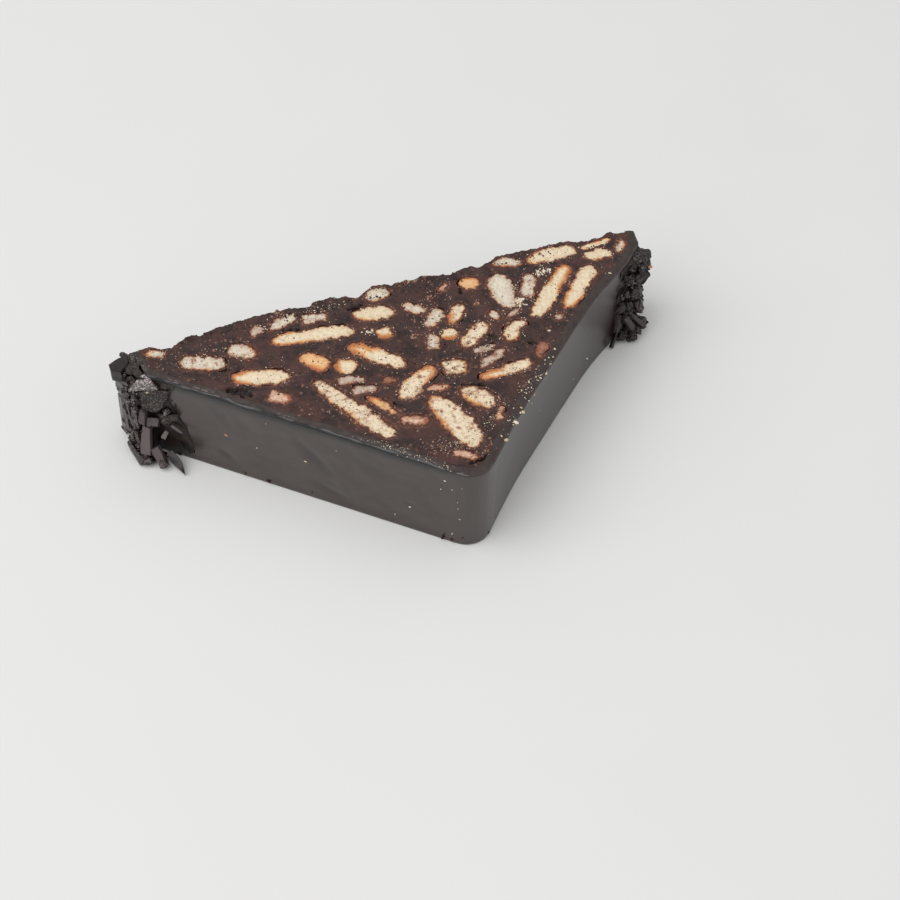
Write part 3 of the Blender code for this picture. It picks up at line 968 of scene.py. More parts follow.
PALE_BAKES = (Bake.CREAM, Bake.WHITE, Bake.GREY)


class Side(Enum):
    """Which side of a piece carries its crust: degrees counter-clockwise from +X on the cut face."""
    FRONT = -108
    FRONT_RIGHT = -63
    RIGHT = -18
    BACK_RIGHT = 27
    BACK = 72
    BACK_LEFT = 117
    LEFT = 162
    FRONT_LEFT = -153


@dataclass(frozen=True)
class BiscuitLook:
    """The look of one piece: its bake, its crust's side and depth, and how far fudge smears it.

    A smear below zero keeps a piece cleaner than the others.
    """
    bake: Bake
    side: Side
    crust: float
    smear: float = 0.0


LOOKS = tuple(BiscuitLook(*row) for row in (
    (Bake.WHITE, Side.LEFT, 1.2, 0.3), (Bake.WHITE, Side.FRONT, 1.2, 0.6),
    (Bake.WHITE, Side.RIGHT, 1.2, 0.5), (Bake.GREY, Side.FRONT, 0.3), (Bake.WHITE, Side.FRONT, 0.7, 0.6),
    (Bake.WHITE, Side.FRONT, 0.3, 0.5), (Bake.CREAM, Side.FRONT_LEFT, 1.3), (Bake.TOASTED, Side.FRONT, 2.2),
    (Bake.CREAM, Side.LEFT, 2.2, -0.2), (Bake.CREAM, Side.BACK_LEFT, 3.2, 0.3),
    (Bake.CREAM, Side.FRONT_LEFT, 0.8, 0.1), (Bake.WHITE, Side.FRONT_RIGHT, 0.5, 0.1),
    (Bake.CREAM, Side.FRONT, 3.4, 0.3), (Bake.REDDISH, Side.RIGHT, 1.6), (Bake.CREAM, Side.LEFT, 1.8, 0.1),
    (Bake.CREAM, Side.FRONT_LEFT, 1.6, 0.6), (Bake.GREY, Side.FRONT, 0.4, -0.3),
    (Bake.GREY, Side.FRONT, 0.3, 0.3), (Bake.BROWN, Side.FRONT, 1.0),
    (Bake.TOASTED, Side.BACK_LEFT, 1.6, 0.4), (Bake.REDDISH, Side.RIGHT, 2.4, 0.5),
    (Bake.CREAM, Side.BACK_RIGHT, 2.2, 0.5), (Bake.CREAM, Side.RIGHT, 1.4, 0.7),
    (Bake.REDDISH, Side.RIGHT, 0.6, -0.9), (Bake.CREAM, Side.LEFT, 2.0, 0.6),
    (Bake.CREAM, Side.FRONT_LEFT, 2.4, 0.7), (Bake.CREAM, Side.LEFT, 2.4, 0.25),
    (Bake.BROWN, Side.LEFT, 1.6), (Bake.GREY, Side.FRONT, 0.3, 0.35), (Bake.GREY, Side.RIGHT, 0.3, -0.5),
    (Bake.CREAM, Side.FRONT_LEFT, 1.0, 0.6), (Bake.CREAM, Side.FRONT, 1.4, 0.6),
    (Bake.WHITE, Side.FRONT_RIGHT, 0.7, 0.5), (Bake.GREY, Side.FRONT, 0.6, 0.1),
    (Bake.WHITE, Side.LEFT, 0.5, 0.05), (Bake.WHITE, Side.RIGHT, 0.5, 0.6),
    (Bake.CREAM, Side.BACK_RIGHT, 1.8), (Bake.CREAM, Side.FRONT_LEFT, 1.5),
    (Bake.CREAM, Side.LEFT, 0.8, -0.1), (Bake.WHITE, Side.FRONT, 0.7, 0.1), (Bake.CREAM, Side.FRONT, 0.6),
    (Bake.CREAM, Side.BACK, 0.8, -2.0), (Bake.WHITE, Side.RIGHT, 0.7, 0.2),
    (Bake.TOASTED, Side.BACK, 1.4, 0.1), (Bake.WHITE, Side.FRONT, 0.7, 0.05),
    (Bake.WHITE, Side.FRONT_RIGHT, 0.5, 0.05), (Bake.CREAM, Side.FRONT_LEFT, 2.8, 0.6),
    (Bake.CREAM, Side.FRONT, 2.0, -0.4), (Bake.WHITE, Side.RIGHT, 0.6, 0.1),
    (Bake.REDDISH, Side.FRONT, 0.8, 0.0), (Bake.REDDISH, Side.FRONT, 0.8),
    (Bake.REDDISH, Side.LEFT, 1.2, 0.0), (Bake.GREY, Side.FRONT, 0.5, 0.1),
))


@dataclass(frozen=True)
class Pit:
    """A hole or crack in the cut face, between two plan places, with its width and depth.

    wobble is how much its width varies and over what length. It is full depth up to the first share of its
    width from its middle, and ends at the second.
    """
    start: tuple[float, float]
    finish: tuple[float, float]
    width: float
    depth: float
    wobble: tuple[float, float] = (0.7, 1.3)
    wall: tuple[float, float] = (0.25, 0.6)

    def weight(self, point: Vector) -> float:
        """Return how far down a point of the cut face is pressed.

        Args:
            point: The point in metres.

        Returns:
            The depth in millimetres.
        """
        start, finish = plan(*self.start), plan(*self.finish)
        along = finish - start
        flat = Vector((point.x, point.y, 0.0))
        share = min(1.0, max(0.0, (flat - start).dot(along) / along.length_squared))
        wobble = 1.0 + self.wobble[0] * noise.noise(flat / (self.wobble[1] * MM))
        away = (flat - start - along * share).length / MM
        return self.depth * (1.0 - fade(away, *[part * self.width * wobble for part in self.wall]))


PITS = tuple(Pit(*row) for row in (
    ((-45.4, -17.4), (-43.0, -18.3), 1.9, 1.3), ((-42.3, -18.6), (-41.2, -19.9), 1.5, 1.2),
    ((-43.7, -18.4), (-43.1, -20.4), 0.9, 0.9), ((-45.8, -9.8), (-44.6, -10.3), 1.1, 1.0),
    ((-7.9, -33.6), (-7.0, -34.4), 1.1, 1.0), ((31.0, -24.2), (34.6, -26.0), 0.9, 1.0),
    ((46.2, 1.2), (47.8, 0.8), 0.8, 0.8), ((20.0, -2.2), (21.0, 1.0), 0.8, 0.7),
    ((10.0, -33.2), (14.6, -34.4), 1.0, 1.1), ((21.6, -18.0), (23.4, -19.2), 0.9, 0.9),
    ((3.6, -57.4), (8.6, -57.0), 1.0, 0.9), ((-9.6, 0.8), (-5.6, 1.6), 0.7, 0.8),
    ((-27.6, -1.2), (-22.6, -2.2), 0.6, 0.7),
))


@dataclass
class SlicePlan:
    """The outlines that the pieces share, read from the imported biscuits."""
    spacing: float = 0.24
    seed_step: float = 7.3
    outlines: dict[int, list[Vector]] = field(default_factory=dict)

    def read(self) -> None:
        """Read every biscuit's outline and give it its chips."""
        for number, look in enumerate(LOOKS, start=1):
            self.outlines[number] = chipped_outline(f"biscuit_{number:02d}", self.spacing,
                                                    self.seed_step * number, look.side.value)


@dataclass
class BiscuitPieces:
    """The broken biscuit in the slice, each piece running through it from face to face.

    Pores and the pale heart start at one distance from the rim and are full at another. crust_depth and
    crust_bake hold what every rim has, and what the crust's own side adds.
    """
    shared: SlicePlan
    spacing: float = 0.3
    lift: float = 0.2
    edge_drop: float = 0.15
    edge_width: float = 0.55
    pores_from: tuple[float, float] = (-0.3, 0.9)
    torn: float = 1.1
    heart_from: tuple[float, float] = (0.5, 2.2)
    crust_depth: tuple[float, float] = (0.45, 0.9)
    crust_bake: tuple[float, float] = (0.35, 0.65)
    tip_bake: float = 0.25
    rim_bake: float = 0.2

    def build(self) -> None:
        """Build and dress every piece."""
        materials = {bake: bake.value.material() for bake in Bake}
        for number, look in enumerate(LOOKS, start=1):
            piece = self.piece(number)
            self.bake_piece(piece, number, look)
            finish_piece(piece, materials[look.bake])
            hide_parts(f"biscuit_{number:02d}")
        LOG.info("biscuit pieces: %d", len(LOOKS))

    def piece(self, number: int) -> Piece:
        """Cut one piece out of a gridded slab and press its pores in.

        Args:
            number: Which piece.

        Returns:
            The closed piece.
        """
        outline = self.shared.outlines[number]
        piece = solid_over(f"biscuit_piece_{number:02d}", outline, REST + self.lift * MM, CUT + MM)
        low = Vector((min(p.x for p in outline) - MM, min(p.y for p in outline) - MM, REST - MM))
        high = Vector((max(p.x for p in outline) + MM, max(p.y for p in outline) + MM, CUT))
        combine(piece, gridded_slab("slab", low, high, self.spacing), "INTERSECT")
        rim = nearest_tree(outline)
        tops = [v.co.z > CUT - CUT_MARGIN for v in piece.data.vertices]
        depths = [plan_distance(rim, v.co) for v in piece.data.vertices]
        set_group(piece, "cut", [float(top) for top in tops])
        set_group(piece, "crumb", [top * fade(d, *self.pores_from) for top, d in zip(tops, depths)])
        set_group(piece, "edge", [top * (1.0 - fade(d, 0.0, self.edge_width))
                                  for top, d in zip(tops, depths)])
        SWELL.press(piece, "cut")
        PORES.press(piece, "crumb")
        press_down(piece, self.edge_drop, "edge")
        return piece

    def bake_piece(self, piece: Piece, number: int, look: BiscuitLook) -> None:
        """Say how far each vertex is baked and smeared, by its depth from the rim and the crust's side.

        Args:
            piece: The piece.
            number: Which piece.
            look: Its look.
        """
        outline = self.shared.outlines[number]
        rim = nearest_tree(outline)
        centre = sum(outline, Vector()) / len(outline)
        reach = max((p - centre).length for p in outline)
        crust_side = heading(look.side.value)
        values, rims, cores = [], [], []
        for vertex in piece.data.vertices:
            flat = Vector((vertex.co.x, vertex.co.y, 0.0))
            depth = plan_distance(rim, flat)
            rims.append(1.0 - fade(depth, 0.0, self.torn))
            cores.append(fade(depth, *self.heart_from))
            towards = max(0.0, (flat - centre).dot(crust_side) / reach)
            facing = max(0.0, (outline[rim.find(flat)[1]] - centre).normalized().dot(crust_side))
            crust = look.crust * (self.crust_depth[0] + self.crust_depth[1] * facing)
            edge = 1.0 - fade(depth, 0.0, crust)
            values.append(edge * (self.crust_bake[0] + self.crust_bake[1] * facing)
                          + self.tip_bake * towards * edge + self.rim_bake * rims[-1])
        set_attribute(piece, "bake", values)
        set_attribute(piece, "rim", rims)
        set_attribute(piece, "core", cores)
        set_attribute(piece, "smeared", [look.smear] * len(values))


@dataclass
class FudgeMass:
    """The fudge: pocketed round the biscuit, cut flat above and below, and craggy along the log's base.

    wander holds how far the base's furrows shift aside and over what length, and rise how fast they do so
    with height. They start under the cut face and calm down towards both ends. Crevices open beside the
    biscuit, and grainy patches lie, where a noise is high. missed is how far in the base stands where the
    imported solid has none.
    """
    shared: SlicePlan
    coat: float = 2.5
    path_step: float = 2.0
    spacing: float = 0.36
    column: float = 0.45
    level: float = 0.45
    end_gap: float = 0.05
    behind: float = 2.0
    margin: float = 0.1
    missed: float = 3.0
    wander: tuple[float, float] = (4.0, 16.0)
    rise: float = 2.0
    wander_under: tuple[float, float] = (0.5, 7.0)
    wander_ends: tuple[float, float] = (2.0, 10.0)
    pocket_gap: float = 0.03
    crevice: float = 0.45
    crevice_length: float = 3.5
    crevice_from: tuple[float, float] = (0.22, 0.6)
    patch_sizes: tuple[float, float] = (9.0, 3.5)
    small_share: float = 0.5
    patch_from: tuple[float, float] = (-0.1, 0.5)
    least_grain: float = 0.15
    base_grain: float = 0.8
    base_width: tuple[float, float] = (2.0, 6.0)
    smear: float = 0.8
    halo: float = 0.8
    # How deep, in millimetres, a pit's painted shade starts and is full
    pit_shade_from: tuple[float, float] = (0.3, 0.7)

    def build(self) -> Piece:
        """Build and dress the fudge.

        Returns:
            The piece.
        """
        piece = self.block()
        self.cut_pockets(piece)
        self.press_cut_face(piece)
        finish_piece(piece, FudgeFinish().material())
        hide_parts("fudge_mass")
        LOG.info("fudge: %d faces", len(piece.data.polygons))
        return piece

    def block(self) -> Piece:
        """Build the block with its rough base and its gridded cut face.

        Returns:
            The closed block, without its pockets.
        """
        low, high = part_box("fudge_mass")
        front = shift_loop(coat_path(self.path_step), lambda p: -self.coat, closed=False)[1:-1]
        start, finish = high.x - self.end_gap * MM, low.x + self.end_gap * MM
        columns = round((start - finish) / (self.column * MM))
        behind = high.y + self.behind * MM
        back = [Vector((start + (finish - start) * i / columns, behind, 0.0)) for i in range(columns + 1)]
        levels = round((CUT + MM - REST) / (self.level * MM))
        piece = solid_over("fudge_cut_face", front + back, REST, CUT + MM, levels)
        self.shape_base(piece, behind)
        CRAGS.press(piece, "base")
        combine(piece, gridded_slab("slab", Vector((low.x - MM, low.y - MM, REST - MM)),
                                    Vector((high.x + MM, high.y + (self.behind + 1.0) * MM, CUT)),
                                    self.spacing), "INTERSECT")
        return piece

    def shape_base(self, piece: Piece, behind: float) -> None:
        """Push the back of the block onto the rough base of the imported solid.

        Args:
            piece: The block.
            behind: Where its back stands before.
        """
        graph = bpy.context.evaluated_depsgraph_get()
        solid = BVHTree.FromObject(NODES["fudge_mass"], graph)
        low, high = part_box("fudge_mass")
        margin = self.margin * MM
        weights = []
        for vertex in piece.data.vertices:
            back = vertex.co.y > behind - margin
            weights.append(float(back))
            if back:
                height = min(max(vertex.co.z, REST + margin), CUT - margin)
                from_end = min(vertex.co.x - low.x, high.x - vertex.co.x)
                under = fade((CUT - height) / MM, *self.wander_under) * fade(from_end / MM, *self.wander_ends)
                aside = noise.noise(Vector((vertex.co.x, height * self.rise, 0.0)) / (self.wander[1] * MM))
                start = Vector((vertex.co.x + self.wander[0] * MM * under * aside, behind, height))
                hit = solid.ray_cast(start, Vector((0.0, -1.0, 0.0)))[0]
                vertex.co.y = hit.y if hit else behind - self.missed * MM
        set_group(piece, "base", weights)

    def cut_pockets(self, piece: Piece) -> None:
        """Cut a pocket through the fudge for every piece of biscuit.

        Args:
            piece: The block.
        """
        def gap(point: Vector) -> float:
            """Return the gap beside the biscuit, which opens to a crevice here and there."""
            opening = noise.noise(point / (self.crevice_length * MM) + Vector((5.0, 1.0, 0.0)))
            return self.pocket_gap + self.crevice * fade(opening, *self.crevice_from)

        cutters = []
        for number, outline in self.shared.outlines.items():
            wider = shift_loop(outline, gap)
            cutters.append(solid_over(f"pocket_{number:02d}", wider, REST - MM, CUT + MM))
        combine(piece, join(cutters), "DIFFERENCE")

    def press_cut_face(self, piece: Piece) -> None:
        """Press the knife's swells, the crumb grain and the pits into the cut face.

        Args:
            piece: The fudge with its pockets.
        """
        rims = nearest_tree([p for outline in self.shared.outlines.values() for p in outline])
        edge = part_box("fudge_mass")[1].y
        vertices = piece.data.vertices
        tops = [v.co.z > CUT - CUT_MARGIN for v in vertices]
        grainy, smear, pits = [], [], []
        for vertex, top in zip(vertices, tops):
            broad, small = [noise.noise(vertex.co / (size * MM)) for size in self.patch_sizes]
            at_base = 1.0 - fade((edge - vertex.co.y) / MM, *self.base_width)
            grain = fade(broad + self.small_share * small, *self.patch_from) + self.base_grain * at_base
            grainy.append(min(1.0, self.least_grain + grain))
            smear.append(self.smear * (1.0 - fade(plan_distance(rims, vertex.co), 0.0, self.halo)))
            pits.append(top * max(pit.weight(vertex.co) for pit in PITS))
        deepest = max(pits)
        set_group(piece, "cut", [float(top) for top in tops])
        set_group(piece, "grain", [top * g for top, g in zip(tops, grainy)])
        set_group(piece, "pit", [p / deepest for p in pits])
        set_attribute(piece, "grainy", grainy)
        set_attribute(piece, "smear", smear)
        # painted shade in the deeper pits
        set_attribute(piece, "sunk", [fade(p, *self.pit_shade_from) for p in pits])
        SWELL.press(piece, "cut")
        GRAIN.press(piece, "grain")
        press_down(piece, deepest, "pit")
        keep_off_floor(piece)


@dataclass(frozen=True)
class Dent:
    """A shallow hollow in the coat's left side: its place, half length, half width, slope and depth.

    The slope is how far its length turns from level, in degrees, and below zero where it goes down towards
    the ridge.
    """
    place: tuple[float, float, float]
    length: float
    width: float
    slope: float
    depth: float


COAT_DENTS = (
    Dent((-30.0, -35.2, 16.4), 6.0, 1.8, -46.0, 0.45),
    Dent((-26.1, -38.6, 4.6), 4.5, 1.4, -18.0, 0.3),
    Dent((-48.7, -19.5, 6.2), 2.4, 0.9, -32.0, 0.35),
    Dent((-48.8, -19.5, 20.3), 4.0, 1.6, -55.0, 0.25),
    Dent((-10.2, -51.9, 9.8), 1.3, 0.9, 0.0, 0.25),
    Dent((-18.5, -44.9, 19.0), 5.0, 2.2, -30.0, 0.2),
)


@dataclass
class GanacheCoat:
    """The poured coat on the log's two front sides and round its ridge.

    rim_radius holds how round the rim under the cut is on the left side and on the right one, and ridge_span
    the stretch along X, in the part's frame, where the one becomes the other. Pairs of widths, across the
    coat, and of heights, from the nearer flat face, say where a mark starts and where it ends.
    """
    thickness: float = 2.55
    column: float = 0.5
    rows: int = 9
    level: float = 0.6
    rim_radius: tuple[float, float] = (1.7, 0.7)
    foot_radius: float = 0.5
    ridge_span: tuple[float, float] = (-10.0, 4.0)
    right_waves: float = 0.5
    skin: float = 1.2
    # How much painted shade a dent's depth adds
    dent_shade: float = 1.3
    strip_height: float = 0.3
    strip_slope: float = 0.9
    cut_heights: tuple[float, float] = (0.4, 0.05)
    side_widths: tuple[float, float] = (0.5, 1.0)
    foot_heights: tuple[float, float] = (0.3, 2.0)
    edge_share: float = 0.85
    # Where the pale rim line, scuffing and a painted highlight, lies on the left rim
    scuff_highlight_sizes: tuple[float, float] = (5.0, 1.2)
    small_share: float = 0.4
    scuff_highlight_widths: tuple[float, float] = (0.1, 0.45)
    scuff_highlight_from: tuple[float, float] = (0.0, 0.4)
    # Where the painted shade under the left rim lies: across the coat, and down from the cut
    painted_shade_widths: tuple[float, float] = (1.2, 1.7)
    painted_shade_heights: tuple[float, float] = (3.4, 1.4)
    nick_widths: tuple[float, float] = (0.2, 0.9)
    nick_heights: tuple[float, float] = (1.0, 0.1)

    def build(self) -> Piece:
        """Build and dress the coat.

        Returns:
            The piece.
        """
        outer = coat_path(self.column)
        inner = shift_loop(outer, lambda p: -self.thickness, closed=False)
        piece = self.bent_strip(outer, inner)
        self.raise_wall(piece)
        self.round_edges(piece, outer, inner)
        foot = CUT - self.strip_height * MM
        strip = [p.index for p in piece.data.polygons if p.center.z > foot and p.normal.z > self.strip_slope]
        self.press_surface(piece, outer)
        self.press_dents(piece)
        finish = GanacheFinish()
        finish_piece(piece, finish.skin_material())
        piece.data.materials.append(finish.cut_material())
        for index in strip:
            piece.data.polygons[index].material_index = 1
        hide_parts("ganache_coat")
        LOG.info("ganache coat: %d faces", len(piece.data.polygons))
        return piece

    def leftness(self, point: Vector) -> float:
        """Return 1 on the left side and 0 past the ridge."""
        return 1.0 - fade(point.x / MM, *self.ridge_span)

    def rim(self, point: Vector) -> float:
        """Return the rim's radius in millimetres."""
        return self.rim_radius[1] + (self.rim_radius[0] - self.rim_radius[1]) * self.leftness(point)

    def bent_strip(self, outer: list[Vector], inner: list[Vector]) -> Piece:
        """Bend a flat grid along the coat's path.

        Args:
            outer: The outer face in plan.
            inner: The inner face in plan.

        Returns:
            The open strip at the height of the rest face.
        """
        piece = start_piece("ganache_shell", bpy.ops.mesh.primitive_grid_add, x_subdivisions=len(outer) - 1,
                            y_subdivisions=self.rows, size=1.0)
        for vertex in piece.data.vertices:
            column = round((vertex.co.x + 0.5) * (len(outer) - 1))
            place = outer[column].lerp(inner[column], vertex.co.y + 0.5)
            vertex.co = (place.x, place.y, REST)
        return piece

    def raise_wall(self, piece: Piece) -> None:
        """Extrude the strip to the coat's height and cut its walls into rows.

        Args:
            piece: The open strip.
        """
        extrude_all(CUT - REST)
        face_outwards()
        cut_walls(piece, CUT - REST, round((CUT - REST) / (self.level * MM)))
        bpy.ops.object.mode_set(mode="OBJECT")

    def round_edges(self, piece: Piece, outer: list[Vector], inner: list[Vector]) -> None:
        """Bend the square outer edges, at the rim under the cut and at the foot, onto an arc.

        Args:
            piece: The closed coat.
            outer: The outer face in plan.
            inner: The inner face in plan.
        """
        face = nearest_tree(outer)
        for vertex in piece.data.vertices:
            column = face.find((vertex.co.x, vertex.co.y, 0.0))[1]
            depth = plan_distance(face, vertex.co)
            inward = (inner[column] - outer[column]).normalized()
            for level, turn, radius in ((CUT, 1.0, self.rim(vertex.co)), (REST, -1.0, self.foot_radius)):
                into = 1.0 - depth / radius
                near = 1.0 - abs(level - vertex.co.z) / MM / radius
                share = max(into, near)
                if min(into, near) >= 0.0 and share > 0.0:
                    angle = into / share if near >= into else 2.0 - near / share
                    angle *= math.pi / 4
                    place = outer[column] + inward * (radius - share * radius * math.sin(angle)) * MM
                    drop = (radius - share * radius * math.cos(angle)) * MM
                    vertex.co = (place.x, place.y, level - turn * drop)

    def press_surface(self, piece: Piece, outer: list[Vector]) -> None:
        """Press waves and dents into the poured side, and the knife's swells into the cut strip.

        Args:
            piece: The closed coat.
            outer: The outer face in plan.
        """
        face = nearest_tree(outer)
        cut = CUT / MM
        waves, dents, tops, scuff_highlight, rim, painted_shade = [], [], [], [], [], []
        for vertex in piece.data.vertices:
            depth = plan_distance(face, vertex.co)
            height = vertex.co.z / MM
            left = self.leftness(vertex.co)
            top, shade, nicked = [fade(height, cut - under[0], cut - under[1])
                                  for under in (self.cut_heights, self.painted_shade_heights, self.nick_heights)]
            side = (1.0 - fade(depth, *self.side_widths)) * fade(height, *self.foot_heights) * (1.0 - top)
            edge = abs(depth - self.rim(vertex.co) * self.edge_share)
            broad, small = [noise.noise(vertex.co / (size * MM)) for size in self.scuff_highlight_sizes]
            scuff_highlight_patch = fade(broad + self.small_share * small, *self.scuff_highlight_from)
            waves.append(side * (left + self.right_waves * (1.0 - left)))
            dents.append(side * left)
            tops.append(top)
            # the pale rim line: scuffing and a painted highlight along the left rim
            scuff_highlight.append(left * top * (1.0 - fade(edge, *self.scuff_highlight_widths)) * scuff_highlight_patch)
            # painted shade: a dark strip just under the left rim
            painted_shade.append(left * (1.0 - fade(depth, *self.painted_shade_widths)) * shade)
            rim.append(nicked * (1.0 - fade(edge, *self.nick_widths)))
        set_group(piece, "waves", waves)
        set_group(piece, "dents", dents)
        set_group(piece, "cut", tops)
        set_group(piece, "rim", rim)
        set_attribute(piece, "scuff_highlight", scuff_highlight)
        set_attribute(piece, "painted_shade", painted_shade)
        SIDE_WAVES.press(piece, "waves")
        SIDE_DENTS.press(piece, "dents")
        SWELL.press(piece, "cut")
        RIM_NICKS.press(piece, "rim")

    def press_dents(self, piece: Piece) -> None:
        """Press the named hollows into the poured left side, with painted shade where they are deep.

        Args:
            piece: The closed coat.
        """
        end = plan(*LEFT_END[1])
        along = (plan(*RIDGE_CORNER) - end).normalized()
        inward = Vector((-along.y, along.x, 0.0))
        painted_shade = piece.data.attributes["painted_shade"].data
        for vertex in [v for v in piece.data.vertices if (v.co - end).dot(inward) < self.skin * MM]:
            push = 0.0
            for dent in COAT_DENTS:
                offset = (vertex.co - plan(*dent.place)) / MM
                turn = math.radians(dent.slope)
                level = offset.dot(along)
                lengthwise = (level * math.cos(turn) + offset.z * math.sin(turn)) / dent.length
                crosswise = (offset.z * math.cos(turn) - level * math.sin(turn)) / dent.width
                push += dent.depth * math.exp(-lengthwise ** 2 - crosswise ** 2)
            vertex.co += inward * (push * MM)
            # painted shade in the dents, darker where they are deeper
            painted_shade[vertex.index].value = min(1.0, painted_shade[vertex.index].value + self.dent_shade * push)


@dataclass(frozen=True)
class Station:
    """One stop along a heap of flakes: a plan place on the coat, and how far the heap stands off it there."""
    x: float
    y: float
    top_reach: float
    foot_reach: float


# Flakes with more worn edges than this, in millimetres, are lumps
LUMP_EDGE = 0.25


@dataclass(frozen=True)
class Shard:
    """One chopped flake: the place of its front face, which way that face looks, and its corners.

    facing is the plan angle that the face looks at, tilt is how far it looks up, and spin turns it in its own
    plane, all in degrees. The corners are millimetres in that plane, before the spin. edge is its worn edge.
    """
    place: tuple[float, float, float]
    thickness: float
    facing: float
    tilt: float
    spin: float
    corners: tuple[tuple[float, float], ...]
    edge: float = 0.12
    sugar_glint: float = 0.15
    bloomed: float = 0.0


def slab(length: float, width: float) -> tuple[tuple[float, float], ...]:
    """Return the corners of a snapped bar that is a little narrower at one end."""
    return ((-0.5 * length, -0.5 * width), (0.46 * length, -0.42 * width), (0.5 * length, 0.36 * width),
            (-0.2 * length, 0.5 * width), (-0.48 * length, 0.44 * width))


def lump(length: float, width: float) -> tuple[tuple[float, float], ...]:
    """Return the corners of a broken lump."""
    return ((-0.5 * length, -0.12 * width), (-0.24 * length, -0.5 * width), (0.34 * length, -0.42 * width),
            (0.5 * length, 0.14 * width), (0.1 * length, 0.5 * width), (-0.38 * length, 0.36 * width))


@dataclass(frozen=True)
class Filler:
    """The smaller flakes of a heap: how many, the stretch and heights they fill, their sizes and spin."""
    count: int
    span: tuple[float, float]
    heights: tuple[float, float]
    length: tuple[float, float]
    width: tuple[float, float]
    thickness: tuple[float, float]
    spin: float
    edge: float = 0.1


LEFT_STATIONS = (
    Station(-66.4, 1.7, 4.4, 4.0),
    Station(-65.6, -2.2, 4.6, 4.8),
    Station(-64.8, -6.0, 2.6, 6.0),
    Station(-61.6, -8.7, 1.0, 4.8),
    Station(-58.4, -11.3, 0.4, 2.6),
)
RIGHT_STATIONS = (
    Station(63.0, -7.1, 0.5, 0.8),
    Station(66.5, -4.6, 2.4, 2.6),
    Station(69.0, -2.8, 2.6, 3.0),
    Station(71.2, -1.0, 1.6, 3.0),
    Station(71.8, 3.4, 0.4, 0.8),
)
SUGARY_PLATE = ((-4.2, -1.6), (4.0, -1.8), (1.2, 2.9), (-0.8, 2.5))
DARK_PLATE = ((-5.4, 0.9), (-4.5, -0.4), (-2.4, -3.3), (1.1, -3.3), (2.9, -1.6), (4.2, 2.2), (4.6, 4.2),
              (-1.1, 3.3))
TIP_BLOCK = ((-3.4, -0.8), (-2.0, -2.8), (0.6, -2.2), (1.4, 0.8), (0.8, 3.4), (-0.6, 2.4), (-2.1, 1.9))
